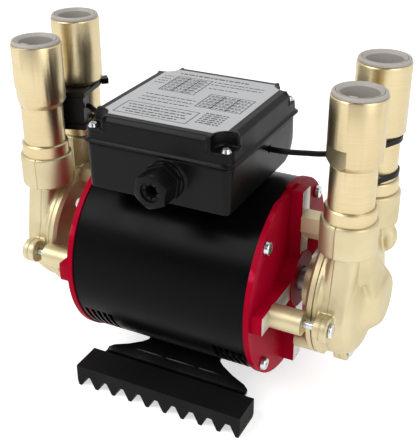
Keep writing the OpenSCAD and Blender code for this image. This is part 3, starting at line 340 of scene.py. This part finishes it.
FINISHES: dict[str, Finish] = {finish.name: finish for finish in (
    Finish("sleeve_black", Surface.PAINTED, (0.0015, 0.0015, 0.002), (0.0025, 0.0025, 0.003), 0.26, 0.34,
           specular=0.06, grain=260.0, relief=0.02, drift=8.0),
    # Crimson's lighter edge colour is edge wear and a painted highlight.
    Finish("crimson_paint", Surface.CAST, (0.36, 0.0006, 0.017), (0.43, 0.0008, 0.023), 0.34, 0.46, specular=0.03,
           grain=700.0, relief=0.05, wear_and_highlight_tone=(0.62, 0.03, 0.08)),
    Finish("milled_aluminium", Surface.PLATED, (0.66, 0.66, 0.65), (0.56, 0.56, 0.55), 0.34, 0.46, metallic=0.8,
           grain=1500.0, relief=0.02),
    Finish("cast_brass", Surface.CAST, (0.64, 0.56, 0.36), (0.57, 0.49, 0.30), 0.44, 0.54, metallic=1.0,
           grain=1100.0, relief=0.05, drift=35.0, seam=0.2),
    Finish("turned_brass", Surface.TURNED, (0.75, 0.64, 0.40), (0.67, 0.55, 0.32), 0.30, 0.40, metallic=1.0,
           grain=1500.0, relief=0.02, streak=(0.54, 0.44, 0.26)),
    Finish("zinc_plate", Surface.PLATED, (0.66, 0.68, 0.71), (0.56, 0.58, 0.60), 0.22, 0.36, metallic=1.0,
           grain=1200.0, relief=0.02),
    Finish("dull_steel", Surface.PLATED, (0.36, 0.36, 0.37), (0.30, 0.30, 0.31), 0.35, 0.5, metallic=1.0),
    Finish("collet_grey", Surface.MOULDED, (0.44, 0.41, 0.37), (0.40, 0.37, 0.34), 0.42, 0.52, grain=700.0),
    Finish("box_plastic", Surface.MOULDED, (0.003, 0.003, 0.0033), (0.0045, 0.0045, 0.0048), 0.30, 0.38,
           specular=0.12, grain=1500.0, relief=0.02),
    Finish("black_plastic", Surface.MOULDED, (0.003, 0.003, 0.0035), (0.0045, 0.0045, 0.005), 0.32, 0.42,
           specular=0.14, grain=1200.0, relief=0.02),
    Finish("lead_black", Surface.MOULDED, (0.003, 0.003, 0.0035), (0.005, 0.005, 0.0055), 0.34, 0.46,
           specular=0.25),
    Finish("label_film", Surface.FILM, (0.50, 0.505, 0.515), (0.47, 0.475, 0.485), 0.36, 0.46, metallic=0.1,
           specular=0.3, grain=2500.0, relief=0.006),
    Finish("print_ink", Surface.FILM, (0.022, 0.022, 0.024), (0.03, 0.03, 0.032), 0.4, 0.5, specular=0.2),
    Finish("foot_rubber", Surface.MOULDED, (0.004, 0.004, 0.0045), (0.0055, 0.0055, 0.006), 0.6, 0.74,
           specular=0.14, grain=900.0, relief=0.05),
    Finish("gloss_black", Surface.PAINTED, (0.002, 0.002, 0.0025), (0.003, 0.003, 0.0035), 0.16, 0.24,
           specular=0.3, grain=180.0, relief=0.03),
    Finish("seal_rubber", Surface.MOULDED, (0.004, 0.004, 0.0045), (0.006, 0.006, 0.0065), 0.5, 0.65, specular=0.2),
    Finish("copper_wire", Surface.PAINTED, (0.40, 0.13, 0.05), (0.34, 0.10, 0.04), 0.3, 0.4),
    Finish("ivory_ceramic", Surface.MOULDED, (0.72, 0.69, 0.60), (0.68, 0.65, 0.57), 0.25, 0.35),
    Finish("pale_case", Surface.MOULDED, (0.62, 0.60, 0.54), (0.58, 0.56, 0.50), 0.4, 0.5),
    Finish("board_green", Surface.PAINTED, (0.02, 0.10, 0.04), (0.03, 0.12, 0.05), 0.3, 0.4),
)}

NODE_FINISH: dict[str, str] = {
    "motor_sleeve": "sleeve_black", "stator_core": "dull_steel", "stator_windings": "copper_wire",
    "left_bracket": "crimson_paint", "right_bracket": "crimson_paint", "bearings": "zinc_plate",
    "tie_bolts": "zinc_plate", "left_pump_back": "cast_brass", "right_pump_back": "cast_brass",
    "left_pump_cover": "cast_brass", "right_pump_cover": "cast_brass", "cover_seals": "seal_rubber",
    "cover_bolts": "zinc_plate", "seal_seats": "ivory_ceramic", "front_left_coupling": "turned_brass",
    "front_right_coupling": "turned_brass", "rear_left_coupling": "turned_brass",
    "rear_right_coupling": "turned_brass", "end_caps": "collet_grey", "pipe_seals": "seal_rubber",
    "grab_rings": "zinc_plate", "socket_seals": "seal_rubber", "left_flow_switch": "black_plastic",
    "right_flow_switch": "black_plastic", "cable_ties": "black_plastic", "terminal_box_base": "box_plastic",
    "terminal_box_lid": "box_plastic", "lid_gasket": "seal_rubber", "lid_screws": "zinc_plate",
    "gland_body": "black_plastic", "gland_nut": "box_plastic", "gland_seal": "seal_rubber",
    "rating_plate": "label_film", "capacitor": "pale_case", "terminal_block": "pale_case",
    "control_board": "board_green", "left_switch_lead": "lead_black", "right_switch_lead": "lead_black",
    "base_saddle": "gloss_black", "saddle_fixings": "zinc_plate", "front_foot": "foot_rubber",
    "rear_foot": "foot_rubber", "motor_shaft": "dull_steel", "rotor_core": "dull_steel",
    "cooling_fan": "black_plastic", "left_impeller": "pale_case", "right_impeller": "pale_case",
    "seal_heads": "seal_rubber", "front_left_collet": "collet_grey", "front_right_collet": "collet_grey",
    "rear_left_collet": "collet_grey", "rear_right_collet": "collet_grey", "left_float": "black_plastic",
    "right_float": "black_plastic",
}


class Model:
    """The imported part: its nodes, bodies and slots, and what each new piece is told about them."""

    def __init__(self, frame: dict) -> None:
        """Reads the frame.
        """
        self.nodes: dict[str, bpy.types.Object] = frame["nodes"]
        record = frame["record"]
        self.slots = {entry["node"]: entry["material_slot"] for entry in record["subparts"]}
        self.bodies = {node: body for body, nodes in record["behaviour"]["bodies"].items() for node in nodes}
        groups = Groups()
        self.materials = {name: finish.build(groups) for name, finish in FINISHES.items()}

    def dress_node(self, node: str, finish: str) -> None:
        """Gives a node's own object a material.

        Args:
            node: The node's name.
            finish: The finish's name.
        """
        data = self.nodes[node].data
        data.materials.clear()
        data.materials.append(self.materials[finish])

    def add(self, name: str, mesh: bpy.types.Mesh, node: str, finishes: list[str], replace: bool = True,
            smooth_angle: float = 40.0) -> bpy.types.Object:
        """Puts a new piece in the scene on the body of a node.

        Args:
            name: The piece's name.
            mesh: Its mesh, in the row frame.
            node: The node whose body it takes.
            finishes: Finishes for its material slots.
            replace: True where it stands for the node.
            smooth_angle: Edges sharper than this stay sharp, in degrees.

        Returns:
            The new object.
        """
        piece = bpy.data.objects.new(name, mesh)
        bpy.context.scene.collection.objects.link(piece)
        for finish in finishes:
            mesh.materials.append(self.materials[finish])
        mesh.shade_smooth()
        mesh.set_sharp_from_angle(angle=math.radians(smooth_angle))
        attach(piece, self.bodies[node])
        if replace:
            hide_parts(node)
        LOG.info("piece %s on %s", name, self.bodies[node])
        return piece

    def merged(self, node: str) -> bmesh.types.BMesh:
        """A node's mesh with its loose triangles merged into flat faces.

        Args:
            node: The node's name.

        Returns:
            A new form in the row frame.
        """
        form = bmesh.new()
        form.from_mesh(self.nodes[node].data)
        bmesh.ops.remove_doubles(form, verts=form.verts[:], dist=WELD)
        bmesh.ops.dissolve_degenerate(form, edges=form.edges[:], dist=WELD)
        bmesh.ops.dissolve_limit(form, angle_limit=FLAT_ANGLE, verts=form.verts[:], edges=form.edges[:],
                                 use_dissolve_boundaries=False)
        return form

    def softened(self, node: str, finishes: list[str], width: float, segments: int = 2,
                 second: Callable[[bmesh.types.BMFace], bool] | None = None) -> None:
        """Puts a copy of a node with rounded edges in its place.

        Args:
            node: The node's name.
            finishes: The finish, and a second one for picked faces.
            width: Width of the rounding in mm.
            segments: Faces across a rounding.
            second: Picks the faces that take the second finish.
        """
        form = self.merged(node)
        form.normal_update()
        for face in form.faces:
            face.material_index = 1 if second is not None and second(face) else 0
        name = f"soft_{node}"
        piece = self.add(name, mesh_of(form, name), node, finishes, smooth_angle=SOFT_ANGLE)
        round_edges(piece, width, segments, SOFT_ANGLE, True)

    def cast(self, node: str, finish: str, grid: float, rounds: int, extras: list[bmesh.types.BMesh]) -> None:
        """Puts a copy of a node with melted corners in its place, as in a casting or a moulding.

        Args:
            node: The node's name.
            finish: The finish's name.
            grid: Size of the net over the skin in mm.
            rounds: Smoothing passes, each moving the skin half way.
            extras: Closed shapes that melt into the piece.
        """
        form = self.merged(node)
        for extra in extras:
            shape = mesh_of(extra, "extra")
            form.from_mesh(shape)
            bpy.data.meshes.remove(shape)
        name = f"cast_{node}"
        piece = self.add(name, mesh_of(form, name), node, [finish], smooth_angle=180.0)
        net = piece.modifiers.new("skin", "REMESH")
        net.mode = "VOXEL"
        net.voxel_size = grid * MM
        net.use_smooth_shade = True
        melt = piece.modifiers.new("melt", "SMOOTH")
        melt.factor = 0.5
        melt.iterations = rounds


# Width of each rounding in mm and the faces across it
SOFTENED: dict[str, tuple[float, int]] = {
    "left_pump_back": (0.7, 2), "right_pump_back": (0.7, 2), "cover_bolts": (1.1, 4),
    "front_left_coupling": (0.35, 2), "front_right_coupling": (0.35, 2), "rear_left_coupling": (0.35, 2),
    "rear_right_coupling": (0.35, 2), "end_caps": (0.3, 2), "left_flow_switch": (0.9, 2),
    "right_flow_switch": (0.9, 2), "cable_ties": (0.35, 2),
    "gland_nut": (0.5, 2), "gland_body": (0.4, 2), "base_saddle": (0.5, 2), "saddle_fixings": (0.8, 3),
    "front_foot": (1.0, 3), "rear_foot": (1.0, 3), "front_left_collet": (0.2, 2), "front_right_collet": (0.2, 2),
    "rear_left_collet": (0.2, 2), "rear_right_collet": (0.2, 2),
}


@dataclass
class Brackets:
    """The end brackets, painted, with the rib faces milled bare, and the bolts that tie them together."""

    milled_from: float = 73.2
    facing: float = 0.9
    hub_r: float = 20.0
    rounding: float = 0.5
    tie_angles: tuple[float, ...] = (45.0, 135.0, 225.0, 315.0)
    tie_reach: float = 60.4
    plate_face: float = 65.5
    shank_r: float = 2.5
    head_r: float = 4.6
    head_top_r: float = 3.9
    head_h: float = 3.3
    head_rounding: float = 0.7
    head_angle: float = 50.0
    # The recess is a black disc a little proud of the head: painted shade.
    recess_shade_r: float = 1.5
    recess_shade_deep: float = 2.3
    recess_shade_proud: float = 0.03

    def milled(self, face: bmesh.types.BMFace) -> bool:
        """True for a milled face at the outer end of a rib."""
        place = face.calc_center_median()
        return abs(place.x) > self.milled_from * MM and abs(face.normal.x) > self.facing and math.hypot(
            place.y - ROW_SHIFT * MM, place.z - SHAFT_Z * MM) > self.hub_r * MM

    def build(self, model: Model) -> None:
        """Dresses both brackets and their bolts.

        Args:
            model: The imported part.
        """
        for node in ("left_bracket", "right_bracket"):
            model.softened(node, ["crimson_paint", "milled_aluminium"], self.rounding, second=self.milled)
        form = bmesh.new()
        for angle in self.tie_angles:
            turn = math.radians(angle)
            self._bolt(form, Vector((0.0, ROW_SHIFT + self.tie_reach * math.cos(turn),
                                     SHAFT_Z + self.tie_reach * math.sin(turn))))
        name = "tie_bolt_set"
        # Slot 1 is black: painted shade on the shanks and in the head recesses.
        piece = model.add(name, mesh_of(form, name), "tie_bolts", ["zinc_plate", "black_plastic"])
        round_edges(piece, self.head_rounding, 3, self.head_angle, False)

    def _bolt(self, form: bmesh.types.BMesh, place: Vector) -> None:
        """Adds a tie bolt with a shank that is black as painted shade behind the vents, and at each end a domed
        head with a black disc in its recess as painted shade.

        Args:
            form: The form that grows.
            place: The middle of the bolt in mm.
        """
        # The shank is black: painted shade inside the motor, seen through the vents.
        self._rod(form, place, 2 * self.plate_face, self.shank_r, self.shank_r, 1)
        for side in (-1, 1):
            head = place + Vector((side * (self.plate_face + self.head_h / 2), 0.0, 0.0))
            self._rod(form, head, self.head_h, self.head_r, self.head_top_r, 0, side)
            recess_shade = place + Vector((side * (self.plate_face + self.head_h - self.recess_shade_deep / 2), 0.0, 0.0))
            self._rod(form, recess_shade, self.recess_shade_deep + 2 * self.recess_shade_proud, self.recess_shade_r, self.recess_shade_r, 1, side)

    @staticmethod
    def _rod(form: bmesh.types.BMesh, place: Vector, length: float, radius: float, end_radius: float, slot: int,
             side: int = 1) -> None:
        """Adds a round rod along X.

        Args:
            form: The form that grows.
            place: Its middle in mm.
            length: Its length in mm.
            radius: Radius at the motor's end in mm.
            end_radius: Radius at the outer end in mm.
            slot: Its material slot.
            side: -1 where its outer end is on the left.
        """
        made = bmesh.ops.create_cone(form, cap_ends=True, segments=FACETS, radius1=radius * MM,
                                     radius2=end_radius * MM, depth=length * MM)
        turn = Matrix.Rotation(math.radians(90.0 * side), 4, "Y")
        bmesh.ops.transform(form, verts=made["verts"], matrix=Matrix.Translation(place * MM) @ turn)
        for face in {face for vert in made["verts"] for face in vert.link_faces}:
            face.material_index = slot


@dataclass
class PumpHeads:
    """The cast covers of the two pump heads."""

    grid: float = 0.8
    rounds: int = 6
    lug_place: Triple = (121.5, 31.0, 117.0)
    lug_size: Triple = (6.0, 6.5, 9.5)
    lug_bands: int = 20

    def build(self, model: Model) -> None:
        """Dresses both covers."""
        for side, sign in (("left", -1), ("right", 1)):
            model.cast(f"{side}_pump_cover", "cast_brass", self.grid, self.rounds, [self.lug(sign)])

    def lug(self, sign: int) -> bmesh.types.BMesh:
        """The rounded lug under a rear socket's outer side.

        Args:
            sign: -1 for the left.

        Returns:
            A closed shape.
        """
        form = bmesh.new()
        bmesh.ops.create_uvsphere(form, u_segments=FACETS, v_segments=self.lug_bands, radius=MM)
        bmesh.ops.scale(form, verts=form.verts[:], vec=self.lug_size)
        place = Vector((sign * self.lug_place[0], *self.lug_place[1:])) * MM
        bmesh.ops.translate(form, verts=form.verts[:], vec=place)
        return form


@dataclass
class TerminalBox:
    """The moulded terminal box: base, lid with its screw pockets, and the printed plate."""

    middle_y: float = -2.4
    lid_foot: float = 184.1
    lid_top: float = 201.5
    lid_net: tuple[float, int] = (0.65, 4)
    base_net: tuple[float, int] = (0.8, 5)
    pocket_x: float = 45.1
    pocket_y: float = 47.6
    pocket_r: float = 9.2
    pocket_floor: float = 192.7
    screw_x: float = 44.6
    screw_y: float = 47.1
    screw_rounding: float = 0.3
    boss_r: float = 3.4
    boss_foot_r: float = 2.04
    boss_foot: float = 162.0
    boss_clear: float = 0.8
    lip: float = 2.3
    lip_reach: float = 0.5
    lip_steps: int = 48
    flat_x: float = 45.6
    flat_y: float = 49.0
    proud: float = 1.6
    slope: tuple[float, float] = (0.3, 0.25)
    print_z: float = 201.81
    print_t: float = 0.02
    bold: float = 1.35
    line: float = 0.6
    dash: float = 1.6
    dash_step: float = 1.3
    dash_gap: float = 0.8
    # Tables: left, right, front, rows and their pitch, in mm from the plate's middle
    tables: tuple[tuple[float, float, float, int, float], ...] = (
        (-29.0, -4.0, 5.0, 6, 4.6), (6.0, 36.0, -12.0, 5, 4.6), (-35.0, 14.0, -40.0, 1, 19.0))
    # Upright rules: left, front, rows and their pitch
    columns: tuple[tuple[float, float, int, float], ...] = (
        (-20.0, 5.0, 6, 4.6), (-12.0, 5.0, 6, 4.6), (16.0, -12.0, 5, 4.6), (26.0, -12.0, 5, 4.6))
    # Rows of dashes: left, right, front and height
    dashes: tuple[tuple[float, float, float, float], ...] = (
        (-30.0, 20.0, 37.5, 1.2), (-2.0, 34.0, 31.5, 0.8), (-2.0, 34.0, 27.0, 0.8), (0.0, 20.0, 20.0, 0.8),
        (-38.0, -31.0, 30.0, 0.8), (-38.0, -31.0, 25.4, 0.8), (-38.0, -31.0, 20.8, 0.8), (-38.0, -31.0, 16.2, 0.8),
        (-28.0, -6.0, 6.6, 0.9), (-28.0, -6.0, 11.2, 0.9), (-28.0, -6.0, 15.8, 0.9), (-28.0, -6.0, 20.4, 0.9),
        (-28.0, -6.0, 25.0, 0.9), (-28.0, -6.0, 29.6, 0.9), (8.0, 34.0, -10.4, 0.9), (8.0, 34.0, -5.8, 0.9),
        (8.0, 34.0, -1.2, 0.9), (8.0, 34.0, 3.4, 0.9), (8.0, 34.0, 8.0, 0.9), (-32.0, 4.0, -5.0, 0.8),
        (-32.0, 4.0, -10.0, 0.8), (-32.0, 4.0, -15.0, 0.8), (-32.0, 11.0, -25.5, 0.9), (-30.0, 9.0, -29.5, 0.9),
        (-32.0, 11.0, -33.5, 0.9), (-28.0, 7.0, -37.0, 0.9), (18.0, 33.0, -20.0, 1.0), (18.0, 33.0, -23.0, 1.0),
        (18.0, 33.0, -26.0, 1.0), (18.0, 33.0, -29.0, 1.0), (18.0, 33.0, -32.0, 1.0), (18.0, 33.0, -35.0, 1.0))

    def build(self, model: Model) -> None:
        """Builds the lid, the base, the screws and the print.

        Args:
            model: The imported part.
        """
        model.cast("terminal_box_lid", "box_plastic", *self.lid_net, [self.pocket_lip(*side) for side in CORNERS])
        model.cast("terminal_box_base", "box_plastic", *self.base_net, [self.boss(*side) for side in CORNERS])
        # Faces below the screw heads are black: painted shade in the screw holes.
        model.softened("lid_screws", ["zinc_plate", "black_plastic"], self.screw_rounding, second=self.shank)
        self.print_lines(model)

    def shank(self, face: bmesh.types.BMFace) -> bool:
        """True for a face of a lid screw below its head; these faces are black as painted shade."""
        return face.calc_center_median().z < self.pocket_floor * MM

    def boss(self, side_x: int, side_y: int) -> bmesh.types.BMesh:
        """The boss under a lid screw.

        Args:
            side_x: -1 for the left.
            side_y: -1 for the front.

        Returns:
            A closed shape.
        """
        form = bmesh.new()
        height = self.lid_foot - self.boss_clear - self.boss_foot
        bmesh.ops.create_cone(form, cap_ends=True, segments=FACETS, radius1=self.boss_foot_r * MM,
                              radius2=self.boss_r * MM, depth=height * MM)
        bmesh.ops.translate(form, verts=form.verts[:], vec=Vector((
            side_x * self.screw_x, self.middle_y + side_y * self.screw_y, self.boss_foot + height / 2)) * MM)
        return form

    def pocket_lip(self, side_x: int, side_y: int) -> bmesh.types.BMesh:
        """The thick lip round the inner side of a screw pocket.

        Args:
            side_x: -1 for the left.
            side_y: -1 for the front.

        Returns:
            A closed shape.
        """
        form = bmesh.new()
        low, high = self.pocket_floor * MM, self.lid_top * MM
        inner, outer = self.pocket_r * MM, (self.pocket_r + self.lip) * MM
        form.faces.new([form.verts.new((radius, 0.0, z)) for radius, z in (
            (inner, low), (outer, low), (outer, high), (inner, high))])
        bmesh.ops.spin(form, geom=form.faces[:], cent=(0, 0, 0), axis=(0, 0, 1), dvec=(0, 0, 0),
                       angle=math.tau, steps=self.lip_steps, use_merge=True, use_duplicate=False)
        bmesh.ops.remove_doubles(form, verts=form.verts[:], dist=WELD / 2)
        walls = [face for face in form.faces if all(abs(vert.co.y) < WELD / 2 for vert in face.verts)]
        bmesh.ops.delete(form, geom=walls, context="FACES_ONLY")
        outward = Vector((side_x, side_y, 0.0)).normalized()
        place = Vector((side_x * self.pocket_x, self.middle_y + side_y * self.pocket_y, 0.0)) * MM
        bmesh.ops.translate(form, verts=form.verts[:], vec=place)
        fall_x, fall_y = self.slope
        edge = Vector((side_x * (self.flat_x + self.proud), self.middle_y + side_y * (self.flat_y + self.proud),
                       self.lid_top)) * MM
        for point, normal in ((place + outward * self.lip_reach * MM, outward),
                              (edge, Vector((side_x, 0.0, fall_x))), (edge, Vector((0.0, side_y, fall_y)))):
            cut = bmesh.ops.bisect_plane(form, geom=form.verts[:] + form.edges[:] + form.faces[:], plane_co=point,
                                         plane_no=normal, clear_outer=True)
            rim = [item for item in cut["geom_cut"] if isinstance(item, bmesh.types.BMEdge)]
            bmesh.ops.edgenet_fill(form, edges=rim)
        bmesh.ops.recalc_face_normals(form, faces=form.faces[:])
        return form

    def strokes(self) -> list[tuple[float, float, float, float]]:
        """Ruled lines and short dashes of the plate's tables.

        Returns:
            Left, front, width and depth of each stroke in mm, from the plate's middle.
        """
        marks = [(left, front + row * pitch, right - left, self.line)
                 for left, right, front, rows, pitch in self.tables for row in range(rows + 1)]
        marks += [(x, front, self.line, rows * pitch + self.line)
                  for left, right, front, rows, pitch in self.tables for x in (left, right)]
        marks += [(left, front, self.line, rows * pitch) for left, front, rows, pitch in self.columns]
        for left, right, front, thick in self.dashes:
            x, count = left, 0
            while x < right:
                width = self.dash + self.dash_step * (count % 3)
                marks.append((x, front, min(width, right - x), thick * self.bold))
                x += width + self.dash_gap
                count += 1
        return marks

    def print_lines(self, model: Model) -> None:
        """Lays the plate's print on it as thin ink.

        Args:
            model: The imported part.
        """
        form = bmesh.new()
        for left, front, width, depth in self.strokes():
            made = bmesh.ops.create_cube(form, size=1.0)
            bmesh.ops.scale(form, verts=made["verts"], vec=Vector((width, depth, self.print_t)) * MM)
            bmesh.ops.translate(form, verts=made["verts"], vec=Vector((
                left + width / 2, self.middle_y + front + depth / 2, self.print_z)) * MM)
        name = "plate_print"
        model.add(name, mesh_of(form, name), "rating_plate", ["print_ink"], replace=False)


@dataclass
class Saddle:
    """The pressed bead along the saddle's front web, broken by two notches."""

    bead_y: float = -31.2
    bead_z: float = 18.4
    rise: float = 30.8
    width: float = 1.1
    height: float = 1.3
    runs: tuple[tuple[float, float], ...] = ((-33.0, -12.0), (-9.5, 13.5), (16.0, 33.0))

    def build(self, model: Model) -> None:
        """Builds the bead on the saddle.

        Args:
            model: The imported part.
        """
        form = bmesh.new()
        for left, right in self.runs:
            made = bmesh.ops.create_cube(form, size=1.0)
            size = Matrix.Diagonal(((right - left) * MM, self.width * MM, self.height * MM, 1.0))
            place = Matrix.Translation(Vector(((left + right) / 2, self.bead_y, self.bead_z)) * MM)
            turn = Matrix.Rotation(math.radians(self.rise), 4, "X")
            bmesh.ops.transform(form, verts=made["verts"], matrix=place @ turn @ size)
        bmesh.ops.bevel(form, geom=form.edges[:], offset=self.width / 3 * MM, offset_type="OFFSET", segments=2,
                        profile=0.5, affect="EDGES", material=-1)
        name = "saddle_bead"
        model.add(name, mesh_of(form, name), "base_saddle", ["gloss_black"], replace=False)


@dataclass
class Studio:
    """The floor, the light and the camera, in metres and degrees."""

    camera_place: Triple = (0.23936, -0.45816, 0.39234)
    azimuth: float = 26.736
    elevation: float = 28.232
    roll: float = -0.181
    lens: float = 71.577
    sensor: float = 36.0
    nearest: float = 0.01
    target: Triple = (0.0, 0.0, 0.11)
    world_light: float = 0.5
    floor_reach: float = 12.0
    floor_shade: float = 0.82
    floor_rough: float = 0.9
    floor_glow: float = 0.6
    card_shade: float = 0.03
    # Softboxes: name, place, size and power in watts
    lamps: tuple[tuple[str, Triple, tuple[float, float], float], ...] = (
        ("key_box", (-0.7, -0.9, 1.3), (0.9, 0.9), 14.0),
        ("fill_box", (1.1, -0.5, 0.8), (0.7, 1.0), 6.0),
    )
    # Dark cards: name, place and size
    cards: tuple[tuple[str, Triple, tuple[float, float]], ...] = (
        ("dark_front", (0.3, -2.4, 1.35), (3.6, 1.4)),
        ("dark_ceiling", (0.1, -0.7, 2.3), (3.4, 2.2)),
    )

    def build(self) -> None:
        """Builds the studio."""
        self.camera()
        self.world()
        self.floor()
        for lamp in self.lamps:
            self.lamp(*lamp)
        for card in self.cards:
            self.card(*card)
        bpy.context.scene.view_settings.view_transform = "Standard"

    def camera(self) -> None:
        """Sets the camera at the photograph's viewpoint."""
        data = bpy.data.cameras.new("camera")
        data.lens = self.lens
        data.sensor_fit = "VERTICAL"
        data.sensor_height = self.sensor
        data.clip_start = self.nearest
        camera = bpy.data.objects.new("camera", data)
        bpy.context.scene.collection.objects.link(camera)
        turn = Matrix.Rotation(math.radians(self.azimuth), 4, "Z")
        tilt = Matrix.Rotation(math.radians(90.0 - self.elevation), 4, "X")
        roll = Matrix.Rotation(math.radians(self.roll), 4, "Z")
        camera.matrix_world = Matrix.Translation(self.camera_place) @ turn @ tilt @ roll
        bpy.context.scene.camera = camera

    @staticmethod
    def _white_to_eye(tree: bpy.types.NodeTree) -> bpy.types.NodeSocket:
        """A value that is 1 for rays that show a background: camera, glossy and transmission rays.

        Args:
            tree: The node tree to add to.

        Returns:
            The socket with the value.
        """
        path = add_node(tree, "LightPath")
        total = path.outputs["Is Camera Ray"]
        for key in ("Is Glossy Ray", "Is Transmission Ray"):
            larger = add_node(tree, "Math", None, {0: total, 1: path.outputs[key]}, operation="MAXIMUM")
            total = larger.outputs["Value"]
        return total

    def world(self) -> None:
        """A white world to the eye and a plain soft light on the object."""
        world = bpy.data.worlds.new("studio")
        world.use_nodes = True
        tree = world.node_tree
        back = tree.nodes["Background"]
        back.inputs["Color"].default_value = (1.0, 1.0, 1.0, 1.0)
        level = add_node(tree, "MapRange", {"To Min": self.world_light, "To Max": 1.0},
                         {"Value": self._white_to_eye(tree)})
        tree.links.new(level.outputs["Result"], back.inputs["Strength"])
        bpy.context.scene.world = world

    def _facing(self, place: Triple) -> Matrix:
        """The turn of something that stands at a place and faces the pump."""
        return (Vector(place) - Vector(self.target)).to_track_quat("Z", "Y").to_matrix().to_4x4()

    def lamp(self, name: str, place: Triple, size: tuple[float, float], power: float) -> None:
        """Adds a softbox.

        Args:
            name: The lamp's name.
            place: Where it stands.
            size: Its width and height.
            power: Its power in watts.
        """
        data = bpy.data.lights.new(name, "AREA")
        data.shape = "RECTANGLE"
        data.size, data.size_y = size
        data.energy = power
        lamp = bpy.data.objects.new(name, data)
        lamp.matrix_world = Matrix.Translation(place) @ self._facing(place)
        bpy.context.scene.collection.objects.link(lamp)

    @staticmethod
    def _panel(form: bmesh.types.BMesh, name: str) -> tuple[bpy.types.Object, bpy.types.NodeTree]:
        """Puts a flat piece of the studio in the scene with a new material.

        Args:
            form: Its form, which is freed.
            name: The name of the piece and its material.

        Returns:
            The piece and its material's node tree.
        """
        mesh = mesh_of(form, name)
        material = bpy.data.materials.new(name)
        material.use_nodes = True
        mesh.materials.append(material)
        panel = bpy.data.objects.new(name, mesh)
        bpy.context.scene.collection.objects.link(panel)
        return panel, material.node_tree

    def card(self, name: str, place: Triple, size: tuple[float, float]) -> None:
        """Adds a dark card that only reflections see.

        Args:
            name: The card's name.
            place: Where it stands.
            size: Its width and height.
        """
        form = bmesh.new()
        bmesh.ops.create_grid(form, x_segments=1, y_segments=1, size=0.5)
        bmesh.ops.scale(form, verts=form.verts[:], vec=(*size, 1.0))
        bmesh.ops.transform(form, verts=form.verts[:], matrix=Matrix.Translation(place) @ self._facing(place))
        card, tree = self._panel(form, name)
        shade = self.card_shade
        glow = add_node(tree, "Emission", {"Color": (shade, shade, shade, 1.0)})
        tree.links.new(glow.outputs["Emission"], tree.nodes["Material Output"].inputs["Surface"])
        card.visible_camera = False
        card.visible_diffuse = False
        card.visible_shadow = False
        card.visible_transmission = False

    def floor(self) -> None:
        """A pale floor that is white to the eye but keeps the soft shadow of the pump."""
        form = bmesh.new()
        bmesh.ops.create_grid(form, x_segments=1, y_segments=1, size=self.floor_reach)
        tree = self._panel(form, "floor")[1]
        shader = tree.nodes["Principled BSDF"]
        shade = self.floor_shade
        shader.inputs["Base Color"].default_value = (shade, shade, shade, 1.0)
        shader.inputs["Roughness"].default_value = self.floor_rough
        shader.inputs["Specular IOR Level"].default_value = 0.0
        glow = add_node(tree, "Emission", {"Strength": self.floor_glow})
        both = add_node(tree, "AddShader", None, {0: shader.outputs["BSDF"], 1: glow.outputs["Emission"]})
        pick = add_node(tree, "MixShader", None, {"Fac": self._white_to_eye(tree), 1: shader.outputs["BSDF"],
                                                  2: both.outputs["Shader"]})
        tree.links.new(pick.outputs["Shader"], tree.nodes["Material Output"].inputs["Surface"])


def main() -> None:
    """Builds the pump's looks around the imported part."""
    logging.basicConfig(level=logging.INFO, format="%(message)s")
    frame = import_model()
    Studio().build()
    model = Model(frame)
    for node, finish in NODE_FINISH.items():
        model.dress_node(node, finish)
    for node, (width, segments) in SOFTENED.items():
        model.softened(node, [NODE_FINISH[node]], width, segments)
    Brackets().build(model)
    PumpHeads().build(model)
    TerminalBox().build(model)
    Saddle().build(model)


if __name__ == "__main__":
    main()
